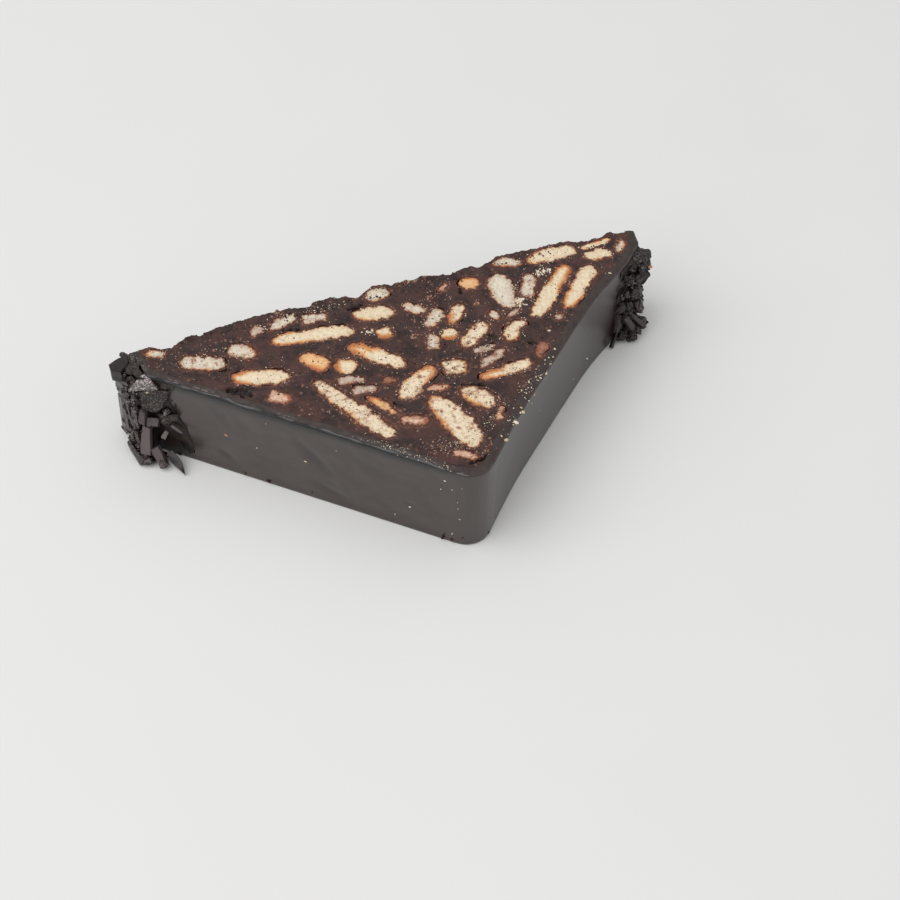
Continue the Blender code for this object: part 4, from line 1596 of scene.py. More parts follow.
# A thin dark sheet on the coat by the left heap: painted shadow and dark reflection of the heap
PAINTED_SHADE_SHEET = ((-5.9, -8.5), (-3.8, -10.3), (4.7, -10.6), (6.6, -9.0), (6.5, -5.7), (5.0, 0.2), (2.6, 5.0),
             (0.6, 9.0), (0.2, 14.9), (-5.4, 14.9), (-5.9, -2.6))
LEFT_SHARDS = tuple(Shard(*row) for row in (
    ((-69.0, -0.3, 26.6), 4.6, -124, 80, 0, TIP_BLOCK, 0.2, 0.0),
    ((-66.6, -2.2, 26.9), 3.6, -120, 70, 20, lump(4.0, 3.8), 0.3, 0.1),
    ((-66.2, 1.2, 27.0), 3.6, -120, 80, 50, lump(4.2, 3.4), 0.3),
    ((-64.6, -0.9, 27.0), 3.0, -120, 76, 80, lump(2.6, 2.2), 0.3, 0.1),
    ((-67.8, 2.6, 27.0), 3.0, -150, 80, 10, lump(2.4, 2.0), 0.3),
    ((-67.9, -4.6, 24.6), 2.4, -132, 44, 10, lump(3.6, 2.4), 0.3),
    ((-65.3, -7.2, 25.2), 1.1, -126, 56, 16, SUGARY_PLATE, 0.1, 1.0, 0.35),
    ((-63.9, -9.3, 20.6), 1.5, -128, 20, 0, DARK_PLATE, 0.12, 0.16),
    # the painted shadow sheet on the coat
    ((-60.3, -10.0, 11.0), 1.2, -130, 0, 0, PAINTED_SHADE_SHEET, 0.1, 0.0),
    ((-67.0, -10.2, 7.4), 1.6, -124, 16, 90, slab(9.4, 2.9), 0.12, 0.0, 0.8),
    ((-64.5, -13.0, 3.2), 1.6, -118, 30, -59, slab(5.9, 2.4), 0.12, 0.0, 0.7),
    ((-64.1, -14.6, 1.5), 1.8, -120, 42, 0, lump(2.9, 2.6), 0.3, 0.1, 0.2),
    ((-60.6, -15.2, 1.5), 1.2, -110, 62, -54, ((-3.9, -0.8), (-1.0, -1.2), (4.2, 0.1), (0.8, 1.3),
                                              (-3.6, 0.9)), 0.12, 0.0),
    ((-70.3, -8.7, 1.7), 1.0, -167, -8, -15, slab(7.8, 2.4), 0.1),
    ((-69.5, -5.9, 13.0), 1.3, -158, 0, 103, slab(10.2, 1.1), 0.1, 0.3, 0.3),
    ((-70.9, -1.4, 10.6), 1.2, -168, 0, 91, slab(13.0, 3.2), 0.12, 0.3),
    ((-70.4, -3.9, 11.6), 1.2, -150, 4, 98, slab(11.0, 1.7), 0.1, 0.2, 0.2),
    ((-70.4, -0.8, 20.2), 1.2, -163, 4, 84, slab(6.0, 4.6), 0.12),
    ((-68.9, -3.5, 21.4), 1.4, -146, 12, 100, slab(4.8, 3.4), 0.12),
    ((-68.0, -5.0, 23.0), 1.0, -140, 14, 112, slab(5.2, 1.1), 0.1, 0.3, 0.3),
    ((-69.8, -6.4, 5.4), 1.2, -152, 2, 80, slab(7.4, 1.8), 0.1),
    ((-68.7, -7.7, 14.4), 1.0, -142, 6, 96, slab(6.4, 2.3), 0.1, 0.3),
    ((-68.6, -8.8, 6.0), 1.0, -138, 0, 101, slab(7.4, 1.4), 0.1),
    ((-67.1, -9.0, 15.0), 1.2, -136, 8, 86, slab(4.8, 2.3), 0.12, 0.1, 0.25),
    ((-64.6, -10.2, 14.0), 1.4, -126, 48, 10, slab(3.6, 2.8), 0.14, 0.0, 0.2),
    ((-61.9, -10.8, 14.6), 1.6, -126, 18, 60, slab(3.2, 2.8), 0.14),
    ((-60.1, -11.5, 15.0), 1.4, -126, 24, 30, slab(3.2, 2.4), 0.14, 0.1, 0.2),
    ((-59.1, -12.4, 11.6), 0.7, -118, 34, -30, slab(3.9, 0.9), 0.1, 0.0, 0.6),
    # a small pale flake set at a bright glint on the coat
    ((-62.1, -11.6, 9.6), 0.6, -118, 44, 70, slab(2.5, 1.5), 0.1, 0.3, 0.6),
    ((-67.6, -12.4, 1.3), 1.8, -120, 40, 0, lump(3.4, 2.6), 0.3),
    ((-68.0, 3.2, 22.4), 2.4, 112, 6, 20, lump(4.4, 3.6), 0.3),
    ((-68.6, 2.9, 18.6), 2.2, 124, -4, 70, lump(4.2, 3.8), 0.3, 0.1),
    ((-67.4, 3.3, 14.8), 2.2, 104, 10, 10, lump(4.6, 3.4), 0.3),
    ((-69.0, 2.6, 12.2), 2.0, 132, 0, 96, slab(6.4, 2.8), 0.14, 0.1, 0.2),
    ((-67.3, 3.2, 10.0), 2.4, 110, -8, 50, lump(4.8, 3.6), 0.3),
    ((-68.9, 2.8, 6.4), 2.2, 126, 8, 30, lump(4.4, 3.2), 0.3, 0.1),
    ((-67.2, 3.4, 4.8), 2.2, 100, 14, 84, lump(4.2, 3.4), 0.3),
    ((-68.6, 3.6, 2.0), 2.6, 118, 30, 0, lump(4.8, 3.0), 0.35),
))
RIGHT_SHARDS = tuple(Shard(*row) for row in (
    ((71.0, -2.6, 26.8), 3.4, -70, 70, 0, lump(6.6, 4.4), 0.45),
    ((72.0, -4.6, 24.8), 2.6, -40, 30, 0, lump(3.4, 3.8), 0.4),
    ((67.8, -4.8, 25.0), 2.6, -60, 46, 40, lump(3.4, 2.6), 0.4),
    ((70.4, -6.0, 21.8), 3.6, -66, 30, 14, lump(5.8, 4.8), 0.45, 0.1),
    ((67.0, -6.2, 21.2), 2.2, -60, 30, 70, lump(3.0, 2.4), 0.35, 0.1),
    ((65.4, -6.6, 22.8), 1.6, -60, 30, 20, lump(2.4, 1.8), 0.3),
    ((69.8, -6.0, 16.0), 3.4, -62, 26, -14, lump(6.0, 3.8), 0.45, 0.1, 0.1),
    ((66.0, -7.2, 17.4), 1.6, -56, 24, 50, lump(2.4, 2.2), 0.3),
    ((64.4, -7.9, 13.0), 2.2, -56, 30, 20, lump(3.0, 2.8), 0.35, 0.1, 0.15),
    ((67.3, -7.3, 12.2), 2.4, -56, 20, 96, lump(4.8, 2.6), 0.4),
    ((70.6, -7.4, 11.6), 2.8, -50, 18, 60, lump(4.4, 3.4), 0.4),
    ((64.0, -8.3, 7.8), 1.4, -52, 6, 78, slab(6.2, 1.9), 0.2, 0.1, 0.2),
    ((67.4, -8.2, 6.8), 1.8, -62, 16, 115, slab(6.8, 2.2), 0.2, 0.0, 0.35),
    ((69.5, -8.3, 7.6), 1.2, -66, 20, 124, slab(7.0, 1.4), 0.15, 0.0, 0.3),
    ((72.0, -7.6, 5.2), 3.0, -50, 26, 20, lump(4.0, 3.9), 0.4),
    ((70.0, -8.8, 4.2), 1.6, -56, 30, 80, lump(2.8, 2.0), 0.3),
    ((65.6, -8.2, 2.2), 2.6, -60, 38, 10, lump(3.6, 2.4), 0.35),
    ((68.8, -8.8, 1.9), 2.6, -60, 38, 40, lump(4.2, 2.8), 0.4),
    ((62.8, -9.2, 2.9), 0.8, -70, 6, 66, slab(6.4, 1.1), 0.1, 0.0),
))


@dataclass
class FlakeHeap:
    """A heap of chopped flakes stuck over one base corner, on its own dark core.

    hollow is the stretch and the heights where the heap has fallen away and the coat shows. The core takes a
    share of the heap's reach and thins out between two shares of its length. rough holds the height and the
    length of its bumps. sink and top_gap say how far under the rest face and under the cut a flake may end.
    The small flakes lie a golden step apart, a little shifted, and buried, turned and tilted at random.
    """
    name: str
    stations: tuple[Station, ...]
    shards: tuple[Shard, ...]
    fillers: tuple[Filler, ...]
    seed: int
    hollow: tuple[float, float, float]
    core_share: float = 0.45
    core_levels: int = 14
    core_columns: int = 4
    core_heights: tuple[float, float] = (0.4, 1.0)
    core_thins: tuple[float, float] = (0.42, 0.58)
    core_thickness: float = 2.0
    rough: tuple[float, float] = (0.7, 2.0)
    uneven: float = 0.06
    front_share: float = 0.92
    thin: float = 0.9
    sink: float = 0.15
    top_gap: float = 0.1
    flat_form: float = 0.15
    sharp: float = 32.0
    spread: tuple[float, float] = (0.618, 0.1)
    buried: float = 1.3
    turns: float = 40.0
    tilts: tuple[float, float] = (-20.0, 45.0)
    # How much of the pale grains, sugared specks and painted glints, a small flake may get
    sugar_glints: tuple[float, ...] = (0.0, 0.1, 0.4)

    def build(self, material: bpy.types.Material) -> Piece:
        """Build and dress the heap.

        Args:
            material: The chopped chocolate.

        Returns:
            The piece.
        """
        draw = random.Random(self.seed)
        everything = [*self.shards, *[s for filler in self.fillers for s in self.small_shards(filler, draw)]]
        heap = join([self.core(), *[self.shard(shard, draw) for shard in everything]])
        set_group(heap, "all", [1.0] * len(heap.data.vertices))
        FLAKE_FORM.press(heap, "lumpy")
        FLAKE_CHIPS.press(heap, "all")
        keep_off_floor(heap)
        finish_piece(heap, material, self.sharp)
        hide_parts("ganache_coat")
        LOG.info("%s: %d flakes, %d faces", self.name, len(everything), len(heap.data.polygons))
        return heap

    def is_hollow(self, share: float, height: float) -> bool:
        """Tell whether the heap has fallen away at a place on its face."""
        start, low, high = self.hollow
        return share > start and low < height < high

    def normal(self, index: int) -> Vector:
        """Return the direction away from the coat at one station."""
        before = self.stations[max(0, index - 1)]
        after = self.stations[min(len(self.stations) - 1, index + 1)]
        along = Vector((after.x - before.x, after.y - before.y, 0.0)).normalized()
        return Vector((along.y, -along.x, 0.0))

    def face(self, share: float, height: float, fill: float = 1.0) -> tuple[Vector, Vector]:
        """Return a place on the heap's face and the direction out of it, in plan millimetres.

        Args:
            share: How far along the heap, from 0 to 1.
            height: Height in millimetres.
            fill: How much of the heap's reach to take.

        Returns:
            The place and the direction.
        """
        scaled = share * (len(self.stations) - 1)
        index = min(int(scaled), len(self.stations) - 2)
        part = scaled - index
        first, second = self.stations[index], self.stations[index + 1]
        out = self.normal(index).lerp(self.normal(index + 1), part).normalized()
        rise = height * MM / CUT
        reach = [fill * (s.foot_reach + (s.top_reach - s.foot_reach) * rise) for s in (first, second)]
        root = Vector((first.x, first.y, 0.0)).lerp(Vector((second.x, second.y, 0.0)), part)
        return root + out * (reach[0] + (reach[1] - reach[0]) * part), out

    def core(self) -> Piece:
        """Bend a grid over the heap's roots and give it a body.

        Returns:
            The closed core.
        """
        columns = self.core_columns * (len(self.stations) - 1)
        piece = start_piece(self.name, bpy.ops.mesh.primitive_grid_add, x_subdivisions=columns,
                            y_subdivisions=self.core_levels, size=1.0)
        low, top = self.core_heights[0], CUT / MM - self.core_heights[1]
        for vertex in piece.data.vertices:
            share, height = vertex.co.x + 0.5, low + (top - low) * (vertex.co.y + 0.5)
            fill = self.core_share * (1.0 - fade(share, *self.core_thins))
            if self.is_hollow(share, height):
                fill = 0.0
            place, out = self.face(share, height, fill)
            grain = noise.noise(Vector((place.x, place.y, height)) / self.rough[1])
            place = place + out * self.rough[0] * grain
            vertex.co = plan(place.x, place.y, height)
        apply_modifier(piece, "SOLIDIFY", thickness=self.core_thickness * MM, offset=-1.0)
        return piece

    def shard(self, shard: Shard, draw: random.Random) -> Piece:
        """Shape one flake from a cylinder with its corners, chip its edges and lay it in place.

        Args:
            shard: Its form and place.
            draw: The seeded draw of its uneven corners.

        Returns:
            The closed flake.
        """
        piece = start_piece("flake", bpy.ops.mesh.primitive_cylinder_add, vertices=len(shard.corners),
                            radius=0.5, depth=1.0, end_fill_type="NGON")
        for vertex in piece.data.vertices:
            x, y = shard.corners[vertex.index // 2]
            scale, level = (self.front_share, 0.0) if vertex.co.z > 0 else (1.0, -shard.thickness)
            uneven = [draw.uniform(-self.uneven, self.uneven) * shard.thickness for _ in range(3)]
            vertex.co = Vector((x * scale + uneven[0], y * scale + uneven[1], level + uneven[2])) * MM
        lumpy = shard.edge > LUMP_EDGE
        bpy.ops.object.mode_set(mode="EDIT")
        face_outwards()
        bpy.ops.mesh.bevel(offset=shard.edge * MM, offset_type="OFFSET", segments=2 if lumpy else 1)
        bpy.ops.mesh.select_all(action="SELECT")
        bpy.ops.mesh.poke()
        bpy.ops.mesh.select_all(action="SELECT")
        if shard.thickness > self.thin:
            bpy.ops.mesh.subdivide(number_cuts=2 if lumpy else 1)
        bpy.ops.object.mode_set(mode="OBJECT")
        out = heading(shard.facing)
        up = Vector((0.0, 0.0, 1.0))
        frame_turn = Matrix((up.cross(out), up, out)).transposed().to_4x4()
        tilt = Matrix.Rotation(math.radians(-shard.tilt), 4, "X")
        spin = Matrix.Rotation(math.radians(shard.spin), 4, "Z")
        piece.data.transform(Matrix.Translation(plan(*shard.place)) @ frame_turn @ tilt @ spin)
        heights = [v.co.z for v in piece.data.vertices]
        sunk, proud = min(heights) - REST - self.sink * MM, max(heights) - CUT + self.top_gap * MM
        piece.data.transform(Matrix.Translation((0.0, 0.0, -min(sunk, 0.0) - max(proud, 0.0))))
        count = len(piece.data.vertices)
        set_attribute(piece, "sugar_glint", [shard.sugar_glint] * count)
        set_attribute(piece, "bloomed", [shard.bloomed] * count)
        set_group(piece, "lumpy", [1.0 if lumpy else self.flat_form] * count)
        return piece

    def small_shards(self, filler: Filler, draw: random.Random) -> list[Shard]:
        """Spread smaller flakes evenly over the heap's face, flat on it, in uneven sizes and turns.

        Args:
            filler: Their number, stretch and sizes.
            draw: The seeded draw.

        Returns:
            The flakes.
        """
        shards = []
        for i in range(filler.count):
            along = (i * self.spread[0] + self.spread[1] * draw.random()) % 1.0
            share = filler.span[0] + (filler.span[1] - filler.span[0]) * along
            low, high = filler.heights
            height = low + (high - low) * (i + draw.random()) / filler.count
            place, out = self.face(share, height)
            place = place - out * draw.uniform(0.0, self.buried)
            facing = math.degrees(math.atan2(out.y, out.x)) + draw.uniform(-self.turns, self.turns)
            length, width, thickness = [draw.uniform(*limits) for limits in
                                        (filler.length, filler.width, filler.thickness)]
            spin, tilt = filler.spin + draw.uniform(-self.turns, self.turns), draw.uniform(*self.tilts)
            if not self.is_hollow(share, height):
                shards.append(Shard((place.x, place.y, height), thickness, facing, tilt, spin,
                                    slab(length, width), filler.edge, draw.choice(self.sugar_glints)))
        return shards


class CrumbKind(Enum):
    """What a loose crumb broke from, with its colours."""
    PALE = CrumbFinish("pale_biscuit_crumbs", "#D9C29C", "#F6EEDD")
    TOASTED = CrumbFinish("toasted_biscuit_crumbs", "#65403A", "#C2977A")
    FUDGE = CrumbFinish("fudge_crumbs", "#2C1E1A", "#54392F")


@dataclass(frozen=True)
class CrumbZone:
    """Crumbs of one kind along a line on the cut face: its ends, its spread, their number and sizes."""
    kind: CrumbKind
    start: tuple[float, float]
    finish: tuple[float, float]
    spread: float
    count: int
    size: tuple[float, float]


CRUMB_ZONES = tuple(CrumbZone(*row) for row in (
    (CrumbKind.PALE, (13.5, -51.6), (36.0, -29.2), 2.0, 60, (0.25, 0.9)),
    (CrumbKind.PALE, (9.0, -50.0), (18.0, -41.0), 2.0, 60, (0.2, 0.5)),
    (CrumbKind.PALE, (22.0, -40.0), (30.0, -34.0), 2.2, 40, (0.2, 0.5)),
    (CrumbKind.PALE, (-18.0, -42.6), (-1.0, -58.0), 1.3, 90, (0.12, 0.5)),
    (CrumbKind.PALE, (-2.0, -50.0), (3.0, -52.0), 2.5, 60, (0.2, 0.5)),
    (CrumbKind.PALE, (-30.0, 3.5), (-8.0, 3.0), 1.2, 60, (0.2, 0.6)),
    (CrumbKind.PALE, (-56.0, -6.0), (-38.0, -1.0), 3.0, 50, (0.15, 0.5)),
    (CrumbKind.PALE, (-45.0, -8.0), (60.0, -2.0), 9.0, 60, (0.12, 0.5)),
    (CrumbKind.PALE, (-28.0, -22.0), (25.0, -28.0), 9.0, 60, (0.12, 0.5)),
    (CrumbKind.PALE, (33.6, -11.2), (33.8, -8.6), 1.0, 60, (0.4, 1.1)),
    (CrumbKind.PALE, (42.2, -1.2), (44.4, -0.8), 1.4, 50, (0.4, 1.1)),
    (CrumbKind.PALE, (-8.0, -8.0), (-5.4, -8.6), 1.0, 24, (0.4, 0.9)),
    (CrumbKind.TOASTED, (10.8, -1.8), (12.6, -1.6), 1.0, 26, (0.4, 1.0)),
    (CrumbKind.TOASTED, (22.0, -7.0), (23.6, -7.0), 1.2, 26, (0.4, 1.0)),
    (CrumbKind.TOASTED, (2.8, -13.6), (4.4, -13.4), 0.9, 20, (0.4, 0.9)),
    (CrumbKind.TOASTED, (-27.6, 5.0), (-26.2, 5.2), 0.8, 16, (0.4, 1.0)),
    (CrumbKind.TOASTED, (5.0, 6.2), (14.0, 5.8), 1.6, 50, (0.4, 1.0)),
    (CrumbKind.PALE, (28.0, -14.0), (46.0, 2.0), 4.0, 60, (0.2, 0.6)),
    (CrumbKind.TOASTED, (-24.0, -28.0), (-18.0, -38.0), 1.8, 60, (0.3, 0.9)),
    (CrumbKind.TOASTED, (-6.0, -48.0), (0.0, -52.0), 2.6, 36, (0.3, 0.8)),
    (CrumbKind.TOASTED, (4.0, -56.0), (10.0, -54.0), 2.0, 40, (0.3, 0.8)),
    (CrumbKind.TOASTED, (-55.0, -1.0), (60.0, 3.0), 3.5, 80, (0.2, 0.6)),
    (CrumbKind.TOASTED, (-20.0, -20.0), (30.0, -24.0), 9.0, 60, (0.2, 0.6)),
    (CrumbKind.FUDGE, (-60.0, 2.0), (50.0, 5.0), 2.0, 260, (0.3, 1.0)),
    (CrumbKind.FUDGE, (-30.0, -18.0), (30.0, -24.0), 12.0, 200, (0.3, 0.8)),
))


@dataclass(frozen=True)
class StrayCrumb:
    """One crumb stuck to the coat or a heap: its plan place and height, and its size in millimetres."""
    place: tuple[float, float, float]
    size: float


STRAY_CRUMBS = {kind: tuple(StrayCrumb(*row) for row in rows) for kind, rows in (
    (CrumbKind.PALE, (
        ((-47.8, -20.2, 13.6), 0.8), ((-41.6, -25.5, 12.7), 0.6), ((-31.5, -34.0, 13.4), 0.9),
        ((-39.4, -27.4, 23.1), 0.4), ((-25.0, -39.5, 21.2), 0.4), ((-3.2, -57.9, 22.8), 0.9),
        ((-3.9, -57.3, 19.3), 0.5), ((-1.7, -59.1, 20.2), 0.5), ((0.3, -60.7, 21.7), 0.4),
        ((-10.0, -52.1, 8.6), 0.8), ((-13.0, -49.6, 4.0), 0.6), ((-0.5, -60.1, 16.0), 0.4),
        ((-0.3, -60.2, 13.7), 0.5), ((0.1, -60.6, 9.9), 0.8), ((-1.3, -59.4, 3.4), 0.8),
        ((14.2, -53.1, 26.4), 1.5), ((18.5, -48.2, 26.2), 1.6), ((21.3, -45.2, 25.8), 1.6),
        ((26.2, -40.4, 25.6), 0.9), ((25.4, -41.2, 23.4), 0.7), ((31.3, -35.4, 26.6), 1.2),
        ((36.1, -28.7, 27.2), 1.0), ((37.0, -22.2, 27.2), 1.1), ((51.6, -15.8, 5.7), 0.9),
        ((29.8, -36.9, 14.7), 0.6), ((45.7, -21.4, 5.4), 0.7), ((59.7, -7.4, 27.2), 1.0),
        ((-64.7, -8.6, 23.3), 1.1),
    )),
    (CrumbKind.TOASTED, (
        ((-48.1, -20.0, 13.9), 1.3), ((-65.2, -8.4, 23.6), 1.2), ((72.2, -5.7, 24.3), 1.4),
        ((-68.3, -9.4, 12.2), 0.9),
    )),
    (CrumbKind.FUDGE, (
        ((-44.5, -23.1, 0.9), 1.3), ((-39.6, -27.2, 0.9), 1.7), ((-30.3, -35.0, 2.1), 0.8),
        ((-3.1, -57.9, 0.9), 1.9), ((-1.2, -59.5, 0.8), 1.3), ((0.9, -60.9, 2.6), 0.8),
        ((8.2, -60.0, 0.9), 1.0),
    )),
)}


@dataclass
class LooseCrumbs:
    """The crumbs that the knife left on the cut face and the coat, joined into one piece for each kind.

    biscuit_torn and fudge_torn hold how often a rim loses a crumb, how far out it lies, by how much that
    varies, and its least and greatest size.
    """
    shared: SlicePlan
    seed: int = 41
    masters: int = 6
    rim_step: float = 1.0
    torn_length: float = 2.5
    biscuit_torn: tuple[float, ...] = (0.4, 0.15, 0.3, 0.18, 0.55)
    fudge_torn: tuple[float, ...] = (0.3, -0.15, 0.35, 0.25, 0.7)
    crust_holds: float = 0.6
    pale_share: float = 0.75
    squash: tuple[float, ...] = (0.45, 0.85, 0.4, 0.7)
    knobbly: tuple[float, float] = (0.65, 1.15)
    zone_spread: float = 0.5
    drop_height: float = 5.0
    deepest: float = 1.5
    tilt: float = 0.5
    raised: float = 0.08
    stray_reach: float = 6.0
    slots: dict[CrumbKind, str] = field(default_factory=lambda: {
        CrumbKind.PALE: "biscuit", CrumbKind.TOASTED: "biscuit", CrumbKind.FUDGE: "fudge"})

    def build(self) -> None:
        """Build and dress every kind."""
        draw = random.Random(self.seed)
        shapes = [self.master(draw) for _ in range(self.masters)]
        graph = bpy.context.evaluated_depsgraph_get()
        drops = {kind: [] for kind in CrumbKind}
        for zone in CRUMB_ZONES:
            drops[zone.kind].extend(self.zone_drops(zone, draw))
        for kind, place, size in self.rim_drops(draw):
            drops[kind].append((place, size))
        for kind in CrumbKind:
            spots = self.landed(drops[kind], graph)
            spots += [(self.stuck(stray, graph), stray.size) for stray in STRAY_CRUMBS[kind]]
            piece = self.scatter(kind, spots, shapes, draw)
            finish_piece(piece, kind.value.material())
            LOG.info("%s: %d crumbs", piece.name, len(spots))

    def master(self, draw: random.Random) -> tuple[np.ndarray, np.ndarray]:
        """Shape one uneven crumb of unit size from a coarse ball.

        Args:
            draw: The seeded draw.

        Returns:
            Its vertices and its triangles.
        """
        piece = start_piece("crumb", bpy.ops.mesh.primitive_ico_sphere_add, subdivisions=1, radius=0.5)
        squash = Vector((1.0, draw.uniform(*self.squash[:2]), draw.uniform(*self.squash[2:])))
        for vertex in piece.data.vertices:
            vertex.co = vertex.co * squash * draw.uniform(*self.knobbly)
        points = np.array([v.co for v in piece.data.vertices])
        faces = np.array([p.vertices for p in piece.data.polygons])
        bpy.data.objects.remove(piece, do_unlink=True)
        return points, faces

    def zone_drops(self, zone: CrumbZone, draw: random.Random) -> list[tuple]:
        """Return the plan place and size of each crumb of a zone.

        Args:
            zone: Where and how many.
            draw: The seeded draw.

        Returns:
            Their places and sizes.
        """
        start, finish = plan(*zone.start), plan(*zone.finish)
        drops = []
        for _ in range(zone.count):
            place = start.lerp(finish, draw.random())
            aside = Vector((draw.gauss(0.0, self.zone_spread), draw.gauss(0.0, self.zone_spread), 0.0))
            place += aside * (zone.spread * MM)
            drops.append((place, zone.size[0] + (zone.size[1] - zone.size[0]) * draw.random() ** 2))
        return drops

    def rim_drops(self, draw: random.Random) -> list[tuple]:
        """Return crumbs torn out along every biscuit's rim, its own just outside and the fudge's inside.

        Args:
            draw: The seeded draw.

        Returns:
            Their kinds, places and sizes.
        """
        drops = []
        stride = max(1, round(self.rim_step / self.shared.spacing / 2))
        for number, look in enumerate(LOOKS, start=1):
            outline = self.shared.outlines[number]
            crust_side = heading(look.side.value)
            often, own, varied, least, most = self.biscuit_torn
            fudge_often, inside, fudge_varied, fudge_least, fudge_most = self.fudge_torn
            for i in range(0, len(outline), stride):
                along = (outline[(i + 1) % len(outline)] - outline[i - 1]).normalized()
                out = Vector((along.y, -along.x, 0.0))
                torn = noise.noise(outline[i] / (self.torn_length * MM) + Vector((0.0, 0.0, number)))
                crusted = max(0.0, out.dot(crust_side))
                if draw.random() < often + torn - self.crust_holds * crusted:
                    reach = draw.gauss(own, varied)
                    pale = look.bake in PALE_BAKES and draw.random() < self.pale_share
                    kind = CrumbKind.PALE if pale else CrumbKind.TOASTED
                    drops.append((kind, outline[i] + out * reach * MM, draw.uniform(least, most)))
                if draw.random() < fudge_often - torn:
                    reach = draw.gauss(inside, fudge_varied)
                    size = draw.uniform(fudge_least, fudge_most)
                    drops.append((CrumbKind.FUDGE, outline[i] + out * reach * MM, size))
        return drops

    def landed(self, drops: list[tuple], graph: bpy.types.Depsgraph) -> list[tuple]:
        """Drop crumbs onto the slice and keep those that land on its cut face.

        Args:
            drops: Plan places and sizes.
            graph: What they fall on.

        Returns:
            Their places on the surface and their sizes.
        """
        spots = []
        for place, size in drops:
            above = Vector((place.x, place.y, CUT + self.drop_height * MM))
            hit, spot = bpy.context.scene.ray_cast(graph, above, Vector((0.0, 0.0, -1.0)))[:2]
            if hit and spot.z > CUT - self.deepest * MM:
                spots.append((spot, size))
        return spots

    def stuck(self, stray: StrayCrumb, graph: bpy.types.Depsgraph) -> Vector:
        """Return where a stray crumb touches the slice, on the line from the camera through its place.

        Args:
            stray: The crumb.
            graph: What it sticks to.

        Returns:
            The place on the surface.
        """
        eye = bpy.context.scene.camera.location
        place = plan(*stray.place)
        hit, spot = bpy.context.scene.ray_cast(graph, eye, (place - eye).normalized())[:2]
        if not hit or (spot - place).length > self.stray_reach * MM:
            LOG.warning("stray crumb at %s finds nothing to stick to", stray.place)
            return place
        return spot

    def scatter(self, kind: CrumbKind, spots: list[tuple], shapes: list[tuple],
                draw: random.Random) -> Piece:
        """Join one turned and scaled copy of a crumb for each spot into one mesh.

        Args:
            kind: The crumbs' kind.
            spots: Their places and sizes.
            shapes: The crumbs to copy.
            draw: The seeded draw.

        Returns:
            The piece.
        """
        points, faces, tints = [], [], []
        count = 0
        for spot, size in spots:
            shape, triangles = draw.choice(shapes)
            turn = np.array(Matrix.Rotation(draw.uniform(0.0, math.tau), 3, "Z")
                            @ Matrix.Rotation(draw.uniform(-self.tilt, self.tilt), 3, "X"))
            place = np.array(spot) + np.array((0.0, 0.0, self.raised * size * MM))
            faces.extend((triangles + count).tolist())
            points.append(shape @ turn.T * size * MM + place)
            tints.extend([draw.random()] * len(shape))
            count += len(shape)
        mesh = bpy.data.meshes.new(kind.value.name)
        mesh.from_pydata(np.concatenate(points).tolist(), [], faces)
        piece = bpy.data.objects.new(kind.value.name, mesh)
        bpy.context.scene.collection.objects.link(piece)
        set_attribute(piece, "tint", tints)
        return piece


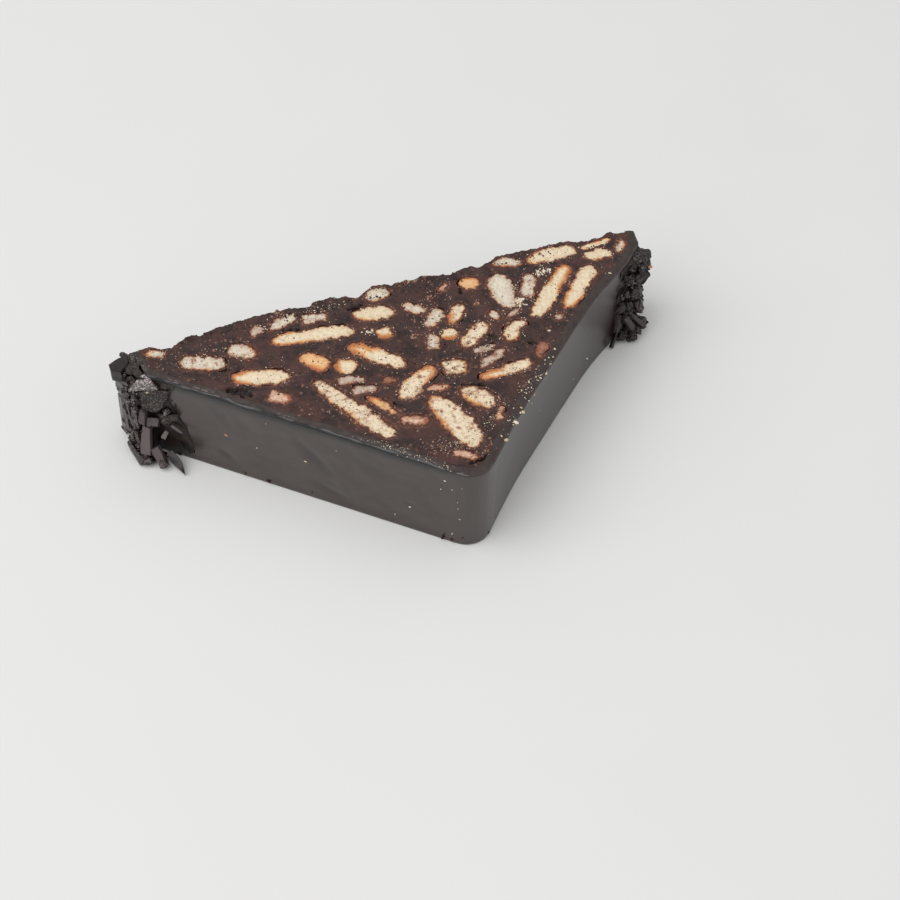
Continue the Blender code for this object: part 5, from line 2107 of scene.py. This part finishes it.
@dataclass
class Studio:
    """A pale floor, soft light from behind on the left, and the camera at the photo's angle."""
    target: tuple[float, float, float] = (-1.41, -26.13, 27.1)
    distance: float = 483.34
    azimuth: float = -20.638
    elevation: float = 49.199
    roll: float = 2.246
    lens: float = 80.0
    sensor: float = 36.0
    floor_size: float = 6.0
    lamp_place: tuple[float, float, float] = (-1.0, -0.22, 1.22)
    lamp_size: float = 1.9
    lamp_power: float = 17.3
    horizon: float = 0.12
    zenith: float = 0.76
    overhead: float = 0.8

    def build(self) -> None:
        """Set up the camera, the floor and the light."""
        self.camera()
        self.floor()
        self.light()
        bpy.context.scene.view_settings.view_transform = "Standard"
        LOG.info("studio ready")

    def camera(self) -> None:
        """Point a long lens at the cut face from the photo's side."""
        data = bpy.data.cameras.new("photo_camera")
        data.lens = self.lens
        data.sensor_width = self.sensor
        camera = bpy.data.objects.new("photo_camera", data)
        bpy.context.scene.collection.objects.link(camera)
        turn, rise = math.radians(self.azimuth), math.radians(self.elevation)
        back = Vector((math.sin(turn) * math.cos(rise), -math.cos(turn) * math.cos(rise), math.sin(rise)))
        facing = (-back).to_track_quat("-Z", "Y").to_matrix().to_4x4()
        place = (Vector(self.target) + back * self.distance) * MM
        camera.matrix_world = (Matrix.Translation(place) @ facing
                               @ Matrix.Rotation(math.radians(self.roll), 4, "Z"))
        bpy.context.scene.camera = camera

    def floor(self) -> None:
        """Lay the floor under the rest face."""
        floor = start_piece("floor", bpy.ops.mesh.primitive_plane_add, size=self.floor_size,
                            location=(0.0, 0.0, REST))
        floor.data.materials.append(FloorFinish().material())

    def light(self) -> None:
        """Hang a wide soft light behind on the left, in a room that is bright above and grey lower down."""
        data = bpy.data.lights.new("soft_window", "AREA")
        data.size = self.lamp_size
        data.energy = self.lamp_power
        lamp = bpy.data.objects.new("soft_window", data)
        bpy.context.scene.collection.objects.link(lamp)
        place = Vector(self.lamp_place)
        lamp.matrix_world = Matrix.Translation(place) @ (-place).to_track_quat("-Z", "Y").to_matrix().to_4x4()
        world = bpy.data.worlds.new("soft_room")
        world.use_nodes = True
        tree = world.node_tree
        around = add_node(tree, "TexCoord").outputs["Generated"]
        split = add_node(tree, "SeparateXYZ", {}, {"Vector": around})
        rise = add_node(tree, "MapRange", {"From Min": 0.0, "From Max": self.overhead, "To Min": self.horizon,
                                           "To Max": self.zenith}, {"Value": split.outputs["Z"]})
        background = tree.nodes["Background"]
        background.inputs["Color"].default_value = linear("#FFFFFF")
        tree.links.new(rise.outputs[0], background.inputs["Strength"])
        bpy.context.scene.world = world


def main() -> None:
    """Build the slice piece by piece."""
    logging.basicConfig(level=logging.INFO, format="%(message)s")
    Studio().build()
    shared = SlicePlan()
    shared.read()
    BiscuitPieces(shared).build()
    FudgeMass(shared).build()
    GanacheCoat().build()
    chocolate = FlakeFinish().material()
    FlakeHeap("left_flakes", LEFT_STATIONS, LEFT_SHARDS, (
        Filler(34, (0.0, 0.6), (1.5, 20.5), (2.6, 6.0), (0.8, 2.2), (0.5, 1.1), 92),
        Filler(14, (0.0, 0.36), (18.0, 25.0), (1.5, 3.0), (0.8, 2.0), (0.6, 1.2), 60),
        Filler(6, (0.7, 1.0), (13.5, 18.0), (1.5, 2.6), (1.0, 1.8), (0.6, 1.0), 20),
        Filler(12, (0.55, 0.95), (0.6, 4.0), (1.5, 3.6), (0.8, 1.8), (0.6, 1.3), 0),
        Filler(60, (0.0, 0.6), (0.5, 24.0), (0.6, 1.6), (0.4, 0.9), (0.3, 0.6), 60)),
        seed=11, hollow=(0.64, 3.5, 13.0)).build(chocolate)
    FlakeHeap("right_flakes", RIGHT_STATIONS, RIGHT_SHARDS, (
        Filler(26, (0.0, 0.9), (1.5, 24.0), (1.8, 3.2), (1.4, 2.4), (1.0, 2.0), 40, 0.3),
        Filler(50, (0.0, 0.95), (0.5, 25.0), (0.7, 1.6), (0.5, 1.0), (0.3, 0.7), 60)),
        seed=23, hollow=(2.0, 0.0, 0.0), core_share=0.12).build(chocolate)
    LooseCrumbs(shared).build()


if __name__ == "__main__":
    main()
